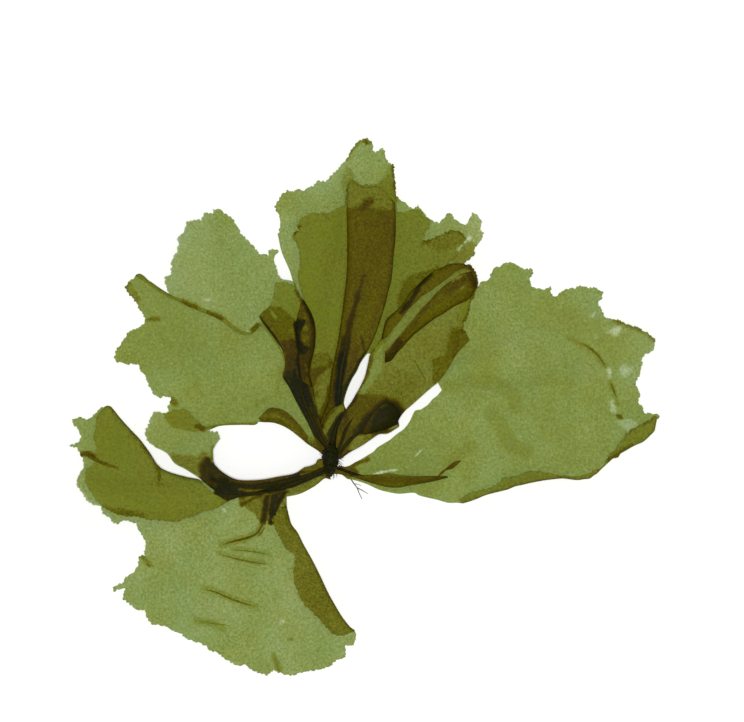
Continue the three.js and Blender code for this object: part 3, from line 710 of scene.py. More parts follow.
TOP_BACK_LEFT_SIDE = [
    (333, 446), (326, 446), (320, 432), (314, 415), (309, 395), (306, 373), (307, 352), (309, 335),
    (306, 316), (301, 300), (294, 284), (290, 271), (285, 260), (281, 250), (278, 236),
]
TOP_BACK_MARGIN = [
    (278, 236), (280, 226), (280, 218), (278, 213), (274, 206), (279, 199), (281, 195), (288, 189.5),
    (291, 192), (297, 189), (305, 190.5), (309, 187.5), (314, 185.5), (318, 180.5), (326, 181.5),
    (333, 173.5), (340, 167), (344, 162), (347, 158), (352, 149), (359, 140.5), (367, 137.5), (372, 142),
    (372.5, 149), (375, 152.5), (380, 148.5), (383.5, 147.5), (386, 158), (391, 164.5), (394, 164),
    (395, 180), (396, 196), (404, 201.5), (409, 207), (415, 208), (418, 204), (425, 216), (435, 222),
    (440, 222.5), (446, 214.5), (450, 212.5), (456, 219.5), (466, 225), (470, 218), (472, 212), (477, 214),
    (482, 221), (480, 229.5), (484.5, 233), (482, 238), (475, 248), (474, 256), (466, 262),
]
TOP_BACK_RIGHT_SIDE = [
    (466, 262), (456, 269), (440, 281), (425, 292), (410, 306), (399, 320), (391, 332), (384, 342),
    (378, 350), (372, 355), (368, 353.5), (361, 362), (357, 371), (352, 379), (348, 388), (345, 397),
    (344, 404), (346, 409), (349, 415), (345, 424), (340, 432), (337, 439),
]
new_frond(
    "top_back_frond",
    [smooth(TOP_BACK_LEFT_SIDE), torn(TOP_BACK_MARGIN, 41), smooth(TOP_BACK_RIGHT_SIDE)],
    over=[],
    neck=(14, 4),
    streaks={
        "folded top edge": ([(347, 158), (352, 149), (359, 141), (367, 138), (371, 142)], 0.35, 2.2),
        "light streak": ([(457, 250), (464, 243), (471, 237)], 0.25, 0.35),
        "folded side": ([(394, 167), (394.5, 180), (396, 196)], 0.25, 3.6),
        "brown dot": ([(366, 141), (367, 142)], 0.2, 4.5),
    },
    patches={
        "left horn": (
            [(344, 192), (344, 178), (347, 169), (350, 169), (352, 177), (355, 184), (352, 192)], 0.35, 1.6,
        ),
        "right corner": (
            [(459, 249), (469, 242), (477, 246), (474, 256), (466, 262), (456, 266), (452, 260)], 0.25, 1.8,
        ),
        "right side": ([(380, 185), (386, 178), (390, 168), (395, 165), (397, 200), (385, 195)], 0.45, 1.5),
    },
    seed=40,
)


# The lower frond
# The wide film at the bottom. Its whole right margin is folded in over it, and its neck narrows to two dark
# legs that run up to the holdfast.

LOWER_NECK = [
    (328, 470), (319, 471.5), (305, 477), (290, 482), (275, 486), (255, 489), (240, 491), (228, 495),
    (215, 501), (200, 506), (180, 512.5), (160, 513), (140, 511), (120, 508.5), (108, 506), (101, 504.5),
]
LOWER_MARGIN = [
    (101, 504.5), (103, 514), (110, 518), (113, 523), (118, 524), (122, 521), (128, 520), (136, 523),
    (138, 530), (145, 540.5), (144, 553), (146, 557.5), (141, 555.5), (138, 558), (137.5, 566), (133, 573),
    (125, 577), (122, 583), (112, 588), (113, 592), (120, 589.5), (125, 589), (122, 599), (129, 604),
    (136, 609.5), (145, 610), (148, 620), (151, 624), (158, 624), (170, 629), (181, 634), (185, 639),
    (197, 643), (206, 646), (208, 650), (218, 654), (227, 661), (236, 666), (245, 665), (252, 671),
    (267, 676.5), (273, 670), (277, 672), (283, 674.5), (293.5, 676), (304, 672), (320, 670), (331, 666),
    (337, 660), (344, 658), (346, 655), (345, 646), (354, 646), (356, 640), (356, 634), (354.5, 631),
]
LOWER_RIGHT_FOLD = [
    (354.5, 631), (350, 628), (345, 622), (340, 615), (333, 603), (327, 592), (320, 577), (312, 561),
    (303, 545), (297, 533), (291, 525), (288, 515), (286, 506),
]
LOWER_RIGHT_FREE = [
    (280, 508), (273, 518), (276, 530), (282, 541), (286, 549), (293, 553), (296, 560), (293, 572),
    (295, 585), (300, 598), (309, 609), (318, 617), (325, 626), (331, 632), (338, 635.5), (347, 634),
]
LOWER_RIGHT_NECK = [(286.5, 497), (300, 494), (312, 488), (318, 484), (325, 478.5), (331, 480)]
new_frond(
    "lower_frond",
    [smooth(LOWER_NECK), torn(LOWER_MARGIN, 51), smooth(LOWER_RIGHT_FOLD), smooth(LOWER_RIGHT_NECK)],
    over=[],
    neck=(9, 6),
    folds=[
        {
            "line": smooth(LOWER_RIGHT_FOLD), "free": torn(LOWER_RIGHT_FREE, 52), "rise": 0.95,
            "margin": True, "layers": 2.6,
        },
    ],
    streaks={
        "triangle's dark streak": ([(263, 494), (252, 499), (242, 505)], 0.28, 5.5),
        "triangle's second streak": ([(262, 491), (250, 495), (240, 498)], 0.2, 4.5),
        "left leg": ([(268, 490), (266, 504), (264.5, 517), (261, 528), (258, 533)], 0.42, 8),
        "right leg's left strand": ([(276, 488), (273, 500), (270.5, 514)], 0.42, 9),
        "right leg's right strand": (
            [(287, 486), (282, 495), (277, 504), (273, 513), (271, 522)], 0.45, 10.5,
        ),
        "base of the legs": ([(262, 490), (275, 491), (286, 490)], 0.45, 9.5),
        "between the strands": ([(280.5, 494), (277.5, 501), (275, 507)], 0.14, 7),
        "gap between the legs": ([(270, 497), (268.5, 508), (267.5, 520)], 0.13, 5),
        # Painted shade: the next five streaks are soft darker bands round the creases, a little wider than
        # the ridges that stand for the creases themselves.
        "painted shade round the long crease": (
            [(203, 588), (213, 590.5), (230, 598), (243, 603), (257, 608)], 0.42, 1.45,
        ),
        "painted shade round the upper creases": ([(218, 553), (240, 559), (262, 563)], 0.42, 1.35),
        "painted shade above the upper creases": ([(232, 549), (250, 550.5), (268, 554)], 0.4, 1.3),
        "painted shade along the low crease": ([(196, 621), (210, 624), (222, 628)], 0.5, 1.5),
        "painted shade round the leg's crease": ([(262, 526), (257, 533), (244, 539), (222, 545)], 0.5, 1.6),
        "low notch": ([(273, 655), (277, 664), (280, 672)], 0.4, 1.8),
        "crease by the right leg": ([(272, 520), (278, 526), (285, 531)], 0.25, 3),
        "notch": ([(140, 555), (145, 560), (149, 566)], 0.3, 2.7),
        "light spot 1": ([(280, 625), (282, 622), (284, 617)], 0.13, 0.5),
        "light spot 2": ([(223, 509), (225, 511)], 0.16, 0.6),
        "dark speck": ([(290, 639), (291, 639)], 0.2, 6.5),
    },
    patches={
        "olive triangle": (
            [(240, 497), (262, 489), (264, 500), (260, 521), (257, 516), (253, 511.5), (247, 508),
             (240, 503)],
            0.15, 2.6,
        ),
        "olive neck": (
            [(284, 497), (300, 494), (318, 484), (325, 478), (318, 477), (300, 484), (287, 488)], 0.3, 2.2,
        ),
    },
    seed=50,
)


# The upper left frond
# The rounded film that lies over the left one, one layer thick. Its neck runs down hidden under the stub
# frond's and joins the holdfast beside it.

UPPER_LEFT_LOWER_SIDE = [
    (326, 452), (318, 444), (311, 430), (303, 412), (293, 393), (286, 378), (285, 366), (281, 352),
    (273, 340), (262, 326), (256, 331), (248, 335), (238, 333), (226, 324), (215, 317), (200, 311),
    (186, 305), (176, 299), (169, 294),
]
UPPER_LEFT_MARGIN = [
    (169, 294), (167, 288), (164.5, 277), (171, 275), (171, 270), (173, 259), (178, 250), (179, 242),
    (176.5, 239), (183, 234), (187, 226), (186.5, 222), (195, 220), (202, 220.5), (204, 213), (213, 214),
    (212.5, 209), (218, 208.5), (223, 212), (233, 219), (238, 227), (241, 234), (250, 242.5), (257, 251),
    (260, 254.5), (264, 254), (268, 256), (268.5, 250), (272, 248.5), (278, 250), (277.5, 253),
    (274.5, 256), (274, 260), (277, 271), (280, 277), (283, 279.5),
]
UPPER_LEFT_INNER_SIDE = [
    (283, 279.5), (294, 282), (297, 292), (300, 303), (304, 318), (305, 335), (303, 350), (303, 366),
    (306, 385), (310, 403), (314, 418), (318, 430), (326, 444),
]
new_frond(
    "upper_left_frond",
    [smooth(UPPER_LEFT_LOWER_SIDE), torn(UPPER_LEFT_MARGIN, 61), smooth(UPPER_LEFT_INNER_SIDE)],
    over=["left_frond"],
    neck=(14, 5),
    streaks={
        "lower edge": (
            [(172, 297), (190, 306), (208, 314), (224, 322), (240, 332), (250, 333), (260, 326)], 0.16, 2,
        ),
        "brown blob 1": ([(183, 302), (190, 305), (197, 307)], 0.32, 3.6),
        "brown blob 2": ([(208, 312), (215, 315), (223, 319)], 0.3, 4.2),
        "white dots": ([(202, 299), (209, 300)], 0.15, 0.3),
        "white dot": ([(247, 332), (249, 332)], 0.15, 0.2),
        "dark wings": ([(252, 330), (257, 325)], 0.3, 4),
    },
    seed=60,
    own=0.96,
)


# The top front frond
# The film on the top back one. A long pleat of three layers runs down its middle, where the film is folded
# over to the left and back again, and narrows to a dark gathered neck at the holdfast.

TOP_FRONT_LEFT_SIDE = [
    (332, 446), (327, 446), (323, 432), (318, 415), (313.5, 395), (310, 370), (311, 352), (312.5, 335),
    (311, 320), (307, 307), (303, 296), (300, 285), (298, 275),
]
TOP_FRONT_MARGIN = [
    (298, 275), (300, 266), (300, 250), (293, 237), (294, 233), (300, 231), (297, 226), (302, 219),
    (308, 215), (315, 213), (325, 214), (333, 212), (338, 208), (345, 205), (346.5, 190), (350, 179),
    (360, 184), (370, 185), (380, 183), (389, 175), (395, 190), (397, 212), (405, 213), (412, 210),
    (420, 210), (430, 219), (430, 228), (425, 232), (423, 240), (430, 240), (438, 236), (452, 230),
    (460, 232), (467, 239), (460, 247), (456, 256), (447, 265),
]
TOP_FRONT_RIGHT_SIDE = [
    (447, 265), (438, 274), (424, 286), (411, 299), (399, 313), (392, 323), (386, 334), (380, 344),
    (373, 351.5), (366, 353.5), (360, 362.5), (356, 371), (351, 380), (347, 388), (344, 397), (343, 404),
    (345, 409), (346, 414), (342, 423), (338, 431), (335, 438),
]
CENTRE_PLEAT_LEFT = [
    (348, 188), (347.5, 210), (348, 235), (348, 260), (347, 280), (344, 305), (342, 320), (339, 340),
    (336, 355), (333, 370), (331, 385), (329, 400), (326, 410), (323, 418), (321, 425),
]
CENTRE_PLEAT_RIGHT = [
    (321.5, 424), (325, 416), (329.5, 410), (334.5, 406), (341, 403.5), (344, 396), (347, 387), (351, 379),
    (355.5, 371), (360, 362), (365.5, 353), (371, 343), (376, 331), (381, 316), (385, 303), (388, 290),
    (391, 278), (393, 255), (395, 235), (395, 215), (394.5, 203),
]
CENTRE_PLEAT_CREST = [(388, 197), (382, 190), (376, 186.5), (368, 188), (360, 187), (351, 182)]
new_frond(
    "top_front_frond",
    [smooth(TOP_FRONT_LEFT_SIDE), torn(TOP_FRONT_MARGIN, 71), smooth(TOP_FRONT_RIGHT_SIDE)],
    over=["top_back_frond"],
    neck=(4, 8),
    folds=[
        {
            "line": smooth(CENTRE_PLEAT_RIGHT),
            "free": np.vstack([torn(CENTRE_PLEAT_CREST, 72), smooth(CENTRE_PLEAT_LEFT)]),
            "rise": 0.95, "margin": False, "layers": 1.5, "lifted": smooth(CENTRE_PLEAT_LEFT),
        },
        {
            "line": smooth(CENTRE_PLEAT_LEFT),
            "free": np.vstack([smooth(CENTRE_PLEAT_RIGHT), torn(CENTRE_PLEAT_CREST, 72)]),
            "rise": 0.95, "floor": 1, "margin": True, "layers": 4.0, "up": True,
            "streaks": {
                "dark spot": ([(363, 209), (367, 204), (370, 202)], 0.55, 5.5),
                "dark right edge": (
                    [(394.5, 203), (395, 215), (394, 240), (392, 262), (388, 290), (383, 308)], 0.3, 5.5,
                ),
                "start of the vein": ([(364, 275), (361, 286), (358, 297)], 0.26, 6.2),
                "vein": ([(358, 295), (355, 306), (352, 318)], 0.38, 7),
                "brown vein": ([(352, 316), (349, 328), (346.5, 342)], 0.52, 7.4),
                "widening vein": ([(347, 340), (344, 354), (342, 366)], 0.6, 9),
                "black streak": ([(343, 355), (341, 370), (339, 385), (338.5, 400), (339, 406)], 0.6, 11.5),
                "brown strip": ([(335, 375), (332, 388), (330, 400)], 0.3, 4.6),
                "lighter strip": ([(374, 296), (368, 318), (360, 338)], 0.6, 3.6),
                "strip beside the slit": ([(358, 348), (351, 366), (346, 384)], 0.45, 5),
                "dark edge along the slit": (
                    [(366, 352), (360, 361), (355, 370), (350, 379), (346, 388), (343, 397), (342, 405)],
                    0.26, 8.5,
                ),
                "dark hook": ([(361, 337), (363, 345), (365, 352)], 0.2, 6.5),
                "dark line by the slit's tip": ([(371, 337), (370, 349)], 0.2, 5),
            },
            "patches": {
                "lighter top": (
                    [(347, 182), (360, 186), (376, 186), (394, 200), (395, 209), (380, 208), (372, 206),
                     (360, 205), (348, 207)],
                    0.5, 2.3,
                ),
                "brown end": ([(345, 402), (324, 402), (316, 428), (330, 428), (338, 410)], 0.5, 4.6),
            },
        },
    ],
    streaks={
        "right fold's edge": ([(424, 242), (432, 237), (446, 230), (456, 231), (465, 237)], 0.3, 3.2),
        "light streak": ([(457, 250), (464, 243), (471, 237)], 0.2, 0.3),
        "folded side": ([(394, 177), (395.5, 200)], 0.2, 3.5),
        "brown margin 1": ([(294, 235), (297, 232), (300, 226)], 0.3, 3),
        "brown margin 2": ([(323, 214), (327, 219)], 0.25, 2.6),
        "patch's brown rim": ([(315, 369), (322, 368.5), (328, 367), (331, 361)], 0.25, 4.2),
    },
    patches={
        "right fold": (
            [(424, 243), (432, 236), (446, 229), (456, 230), (467, 238), (457, 247), (440, 250)], 0.5, 2.3,
        ),
        "brown corner beside the pleats": (
            [(404, 283), (409, 277), (420, 274), (432, 270), (440, 268), (425, 279), (410, 294),
             (399, 308), (398, 296)],
            0.25, 2.9,
        ),
        "rounded patch": (
            [(311, 355), (318, 353.5), (324, 353.5), (329, 355.5), (332, 360), (332, 366), (330, 371),
             (311, 371)],
            0.15, 2.7,
        ),
        "brown neck": (
            [
                (308, 373), (320, 368), (332, 370), (345, 372), (344, 400), (340, 412), (336, 430),
                (333, 446), (327, 446), (322, 430), (318, 412), (312, 395),
            ],
            0.3, 4.4,
        ),
        "dark left of the leaf": (
            [(312, 400), (316, 410), (319, 417), (321, 425), (324, 440), (333, 446), (318, 446)], 0.3, 7,
        ),
        "light lens": (
            [
                (331, 368), (325, 371), (317.5, 378), (314.5, 388), (314.5, 400), (318, 418), (321, 409),
                (325, 397), (328, 387), (330.5, 379),
            ],
            0.12, 1.9,
        ),
        "dark under the leaf": (
            [
                (347, 409), (341, 413), (337, 418), (333, 425), (329, 432), (330, 446), (337, 446),
                (340, 432), (345, 420), (349, 412),
            ],
            0.25, 8.5,
        ),
        "light leaf": (
            [
                (343, 405), (338, 408), (334, 411), (330, 417), (326, 424), (322.5, 429), (322, 434),
                (323.5, 438), (325.5, 436), (328, 430), (332, 424), (336, 417), (340, 413), (344, 410),
            ],
            0.1, 2.2,
        ),
    },
    seed=70,
)


# The lower left frond
# A narrow film folded in half along its top edge, so that nearly all of it is two layers. Its neck is part
# of the dark stem that it shares with the small frond and the lower one.

LOWER_LEFT_NECK = [
    (326, 477), (322, 475), (308, 482), (297, 488), (283, 492), (268, 495), (252, 495.5), (240, 497),
    (230, 500),
]
LOWER_LEFT_LOWER_MARGIN = [
    (218, 507), (208, 510), (200, 512), (190, 517), (183, 518), (178, 521), (165, 520), (150, 518.5),
    (137, 516), (120, 514), (112, 511), (104, 506),
]
LOWER_LEFT_TIP = [
    (96, 504.5), (88, 500.5), (82, 491), (78, 487), (77, 481), (80, 473), (84, 468), (83, 460), (80, 455),
    (77, 448), (68, 446), (77, 443), (81, 437), (78, 430), (73, 425), (71, 419.5), (78, 417), (85, 419.5),
    (91, 417.5), (95, 413), (100, 408), (105, 407),
]
LOWER_LEFT_FOLD = [
    (105, 407), (110, 407), (120, 419), (130, 430), (140, 440.5), (150, 454), (158, 466), (168, 472),
    (185, 477), (198, 479.5),
]
LOWER_LEFT_UPPER_NECK = [
    (212, 484.5), (225, 487.5), (240, 488.5), (255, 487), (270, 484.5), (285, 481), (300, 477), (312, 472),
    (326, 467),
]
LOWER_LEFT_FREE_RIGHT = [(205, 486), (212, 492), (220, 496), (225, 500)]
LOWER_LEFT_FREE_LEFT = [
    (97, 499), (94, 494), (90, 489), (86, 480), (87, 470), (96, 461), (97, 447), (94, 440), (95, 430),
    (97, 416),
]
new_frond(
    "lower_left_frond",
    [
        smooth(LOWER_LEFT_NECK), torn(LOWER_LEFT_LOWER_MARGIN, 81), torn(LOWER_LEFT_TIP, 82),
        smooth(LOWER_LEFT_FOLD), smooth(LOWER_LEFT_UPPER_NECK),
    ],
    over=["lower_frond"],
    neck=(12, 6),
    folds=[
        {
            "line": smooth(LOWER_LEFT_FOLD),
            "free": np.vstack([
                smooth(LOWER_LEFT_FREE_RIGHT), torn(LOWER_LEFT_LOWER_MARGIN, 81),
                torn(LOWER_LEFT_FREE_LEFT, 83),
            ]),
            "rise": 0.95, "margin": True, "layers": 1.5,
            "streaks": {
                "soft crease": (
                    [(80, 455), (87, 453), (95, 458), (102, 462), (110, 465), (118, 467)], 0.35, 2.4,
                ),
                "soft crease by the fold": ([(158, 464), (159, 474), (160, 484)], 0.5, 2.3),
                "dark lower band": ([(106, 508), (120, 511), (136, 513), (145, 515)], 0.5, 3),
                "dark top edge": ([(112, 410), (120, 419), (140, 441), (158, 466), (185, 477)], 0.25, 3),
            },
        },
    ],
    streaks={"dark start of the crease": ([(80, 455), (88, 454), (94, 457)], 0.35, 4.5)},
    own=1.06,
    patches={
        "black neck": (
            [(218, 482), (262, 482), (300, 476), (304, 481), (287, 489), (266, 492), (248, 497),
             (228, 499), (216, 494)],
            0.35, 9.5,
        ),
        "olive strip": (
            [(287, 489), (300, 484), (312, 479), (321, 474), (325, 475), (320, 481), (308, 489),
             (300, 494), (286, 496)],
            0.2, 2.4,
        ),
    },
    seed=80,
)


# The stub frond
# A short film, gathered lengthwise into narrow dark folds, which lies left of the middle. Its right side is
# folded over it, and one of the folds bends into a black hook.

STUB_LEFT_SIDE = [
    (328, 450), (319, 441), (312, 431), (303, 411), (292, 391), (283, 377), (284.5, 369), (285, 359),
    (280, 345), (270, 332), (260, 317), (268, 308), (273, 301),
]
STUB_TOP = [(273, 301), (275, 292), (275, 284), (283, 282), (293, 285), (298, 292), (303, 300)]
STUB_RIGHT_FOLD = [
    (303, 300), (308, 308), (312, 316), (315, 328), (314.5, 346), (311, 361), (309, 373), (312, 387),
]
STUB_RIGHT_NECK = [(315, 400), (318, 413), (321, 425), (325, 436), (331, 446)]
STUB_FREE = [(303, 381), (300, 365), (299, 345), (296, 330), (298, 315)]
new_frond(
    "stub_frond",
    [smooth(STUB_LEFT_SIDE), torn(STUB_TOP, 91), smooth(STUB_RIGHT_FOLD), smooth(STUB_RIGHT_NECK)],
    over=["upper_left_frond", "top_front_frond", "left_frond"],
    neck=(5, 9),
    folds=[
        {
            "line": smooth(STUB_RIGHT_FOLD), "free": smooth(STUB_FREE), "rise": 0.95,
            "margin": True, "layers": 4.8,
            "patches": {
                "brown lower part": (
                    [(302, 350), (314, 348), (311, 361), (309, 373), (304, 378), (300, 366)], 0.3, 6.5,
                ),
                "black hook": (
                    [(294, 322), (299, 320), (305, 321), (303, 327), (300.5, 333), (300.5, 340),
                     (304, 346), (309, 348), (306, 354), (300, 352), (297, 342)],
                    0.15, 11,
                ),
                "light window": (
                    [(303.5, 328), (306, 325), (308, 329), (308, 338), (305.5, 342), (303.5, 339),
                     (302.5, 333)],
                    0.1, 2.6,
                ),
            },
            "streaks": {
                "right band": (
                    [(305, 303), (310, 312), (313, 322), (313, 340), (311.5, 352), (309, 362)], 0.35, 6.8,
                ),
                "darkest edge": ([(304, 302), (308, 310), (312, 320), (313, 327)], 0.2, 9),
                "green slip": ([(306, 365), (307.5, 372)], 0.15, 3.5),
                "pale spot": ([(305, 317), (305.5, 319)], 0.12, 3.5),
            },
        },
    ],
    streaks={
        "dark left edge": (
            [(259, 316), (270, 330), (280, 344), (284.5, 353), (284.5, 368), (283, 377)], 0.25, 5,
        ),
        "dark lower edge": ([(284, 378), (292, 391), (303, 411), (312, 430)], 0.3, 8),
        "light streak": ([(270, 309), (276, 318)], 0.2, 1.2),
        "light spot 1": ([(294, 284), (294, 286)], 0.2, 0.6),
        "brown band": ([(297, 289), (300, 298), (303, 307)], 0.3, 4),
        "light spot 2": ([(302, 282), (302, 284)], 0.2, 0.6),
        "brown slip on the right": ([(307, 368), (310, 381), (313, 392), (318, 406)], 0.3, 4.8),
        "light slip": ([(314, 397), (316, 403)], 0.2, 3.2),
        "brown slip in the middle": ([(294, 362), (297, 370), (299, 378)], 0.2, 6.5),
        "brown slip by the holdfast": ([(311, 408), (317, 421), (323, 434)], 0.22, 5.5),
    },
    patches={
        "left lobe": (
            [(259, 316), (270, 308), (281, 308), (292, 318), (296, 324), (297, 340), (284, 350),
             (270, 331)],
            0.3, 3.3,
        ),
        "brown middle": (
            [(282, 342), (297, 340), (300, 352), (312, 355), (310, 373), (313, 390), (319, 415),
             (292, 391), (284, 374), (285, 356)],
            0.3, 6.2,
        ),
        "brown corner": ([(281, 377), (286, 371), (293, 372), (297, 380), (292, 390)], 0.25, 8),
        "black band": (
            [
                (297, 360), (302, 356), (304, 364), (304, 374), (306, 384), (310, 395), (313, 405),
                (317, 418), (321, 430), (326, 440), (328, 450), (319, 441), (312, 431), (303, 411),
                (297, 400), (291, 389), (294, 376),
            ],
            0.25, 10.5,
        ),
        "black hook": (
            [(295, 323), (300, 321), (302.5, 328), (300, 340), (302, 351), (299, 355), (297, 340),
             (295.5, 331)],
            0.15, 11,
        ),
    },
    seed=90,
)


# The small frond
# A small film on a long stem. The stem is the film's own neck, rolled up tightly, so it turns from olive to
# nearly black on its way to the holdfast.

SMALL_LOWER_STEM = [
    (154.5, 446.5), (167, 453), (175, 463), (186, 469), (200, 478), (207, 484), (214, 489), (222, 493),
    (235, 494.5), (250, 492.5), (265, 489), (280, 486), (295, 482), (308, 477), (318, 473), (328, 473),
]
SMALL_UPPER_STEM = [
    (326, 468), (323, 459), (317.5, 459.5), (316, 463), (311, 465.5), (304, 467.3), (299, 471), (292, 474),
    (280, 476), (260, 479.5), (238.5, 479.5), (224.5, 473), (215, 464), (213.5, 456), (213.5, 449),
    (217, 443), (220.5, 438),
]
SMALL_MARGIN = [
    (220.5, 438), (218, 432), (208, 430.5), (201.5, 424.5), (193, 418), (190, 412), (185, 409), (175, 410),
    (164, 414), (154.5, 411.5), (150.5, 417), (148, 426), (145.5, 430), (146.5, 440), (154.5, 446.5),
]
new_frond(
    "small_frond",
    [smooth(SMALL_UPPER_STEM), torn(SMALL_MARGIN, 101), smooth(SMALL_LOWER_STEM)],
    over=["lower_left_frond", "left_frond", "lower_frond"],
    neck=(8, 10),
    streaks={
        "upper edge": ([(208, 460), (214, 466), (222, 473), (234, 479)], 0.35, 8),
        "brown edge": ([(150, 447), (160, 452), (170, 457)], 0.3, 1.6),
        "dark spot": ([(197, 426), (203, 429)], 0.4, 4),
        "right edge": ([(213, 448), (214, 460)], 0.4, 2.4),
        "brown slip in the root": ([(203, 478), (210, 482), (216, 485)], 0.35, 7.2),
        "brown slip in the stem": ([(240, 489), (250, 490), (258, 490.5), (266, 491)], 0.25, 3.8),
        "brown upper band": ([(230, 480.5), (246, 482), (262, 481.5), (276, 479), (290, 476)], 0.2, 6.4),
        "brown slip by the holdfast": ([(302, 475), (309, 474), (318, 472)], 0.3, 4),
    },
    patches={
        "olive stem root": (
            [(172, 457), (185, 458), (198, 460), (204, 455), (214, 462), (226, 474), (222, 493),
             (206, 483), (190, 471)],
            0.6, 2.4,
        ),
        "brown stem root": (
            [(202, 466), (208, 460), (215, 465), (238, 480), (222, 482), (213, 484), (204, 478)], 0.5, 7.5,
        ),
        "stem": (
            [
                (222, 476), (250, 480), (275, 477), (293, 474), (303, 470), (322, 469), (322, 474),
                (308, 480), (300, 484), (250, 492), (222, 490),
            ],
            0.3, 5.5,
        ),
        "olive start": (
            [(303, 467), (311, 465), (316, 460), (322, 460), (322, 466), (312, 469.5), (303, 471)],
            0.2, 3.4,
        ),
        "black core": (
            [
                (211, 476), (216, 480), (224, 478), (235, 482), (262, 483), (282, 480), (296, 476),
                (304, 473), (306, 480), (298, 485), (286, 489), (270, 492), (252, 492), (240, 496),
                (228, 498), (218, 494), (212, 487),
            ],
            0.35, 11,
        ),
        "dark band to the holdfast": (
            [(302, 477), (312, 473), (326, 468), (328, 473), (316, 477), (306, 482)], 0.25, 7,
        ),
    },
    seed=100,
    own=1.1,
)


# The pleated frond
# The narrow dark film at the upper right, which lies over three others. Both of its sides are folded over
# it as long pleats, and its neck is gathered.

PLEATED_NECK = [
    (336, 452), (340, 459), (345, 455.5), (350, 452), (361, 446), (370, 440), (379, 434), (387, 433.5),
    (395, 429), (399, 426), (398, 421), (402, 414), (407, 409), (413, 404), (425, 393), (432, 387),
    (438, 382), (447, 370), (456, 355), (465, 345), (469, 341),
]
PLEATED_MARGIN = [
    (469, 341), (467, 334), (463, 328), (463, 322), (466, 320), (469, 310), (469.5, 305), (474, 295),
    (477, 286), (477.5, 280), (476, 273), (470, 265), (464, 264.5),
]
PLEATED_TOP_FOLD = [
    (464, 264.5), (450, 265), (441, 269), (433, 273), (425, 279), (418, 286), (410, 294), (404, 304),
    (396, 312), (387, 320), (384, 330), (382, 339),
]
PLEATED_TOP_FREE = [
    (387, 337), (391, 331), (398, 323), (403, 317), (408, 310), (415, 303), (422, 296), (430, 291),
    (437, 286), (445, 280), (455, 272), (464, 268),
]
PLEATED_LEFT_SIDE = [
    (376, 346), (370, 355), (369, 359), (367.5, 366), (365, 376), (361, 385), (356, 394), (352, 401),
    (347, 408), (342, 418), (338, 428), (336, 440),
]
PLEATED_LOW_FOLD = [
    (475, 281), (474, 290), (468, 299), (460, 303), (452, 307), (443, 313), (433, 319), (424, 326),
    (415, 333), (408, 340), (402, 347), (396, 353), (391, 360), (385, 362),
]
PLEATED_LOW_FREE = [
    (385, 352), (390, 347), (396, 340), (407, 327), (413, 320), (420, 311), (428, 303), (434, 296),
    (440, 290), (447, 284), (455, 279), (462, 274), (471, 272),
]
PLEATED_BASE_PLEAT = [(398, 419), (395, 424), (388, 426.5), (380, 430), (372, 432), (365, 434)]
PLEATED_BASE_FREE = [
    (363, 432), (365, 425), (370, 417), (377, 409), (383, 404), (390, 403.5), (394.5, 407), (400, 415),
]
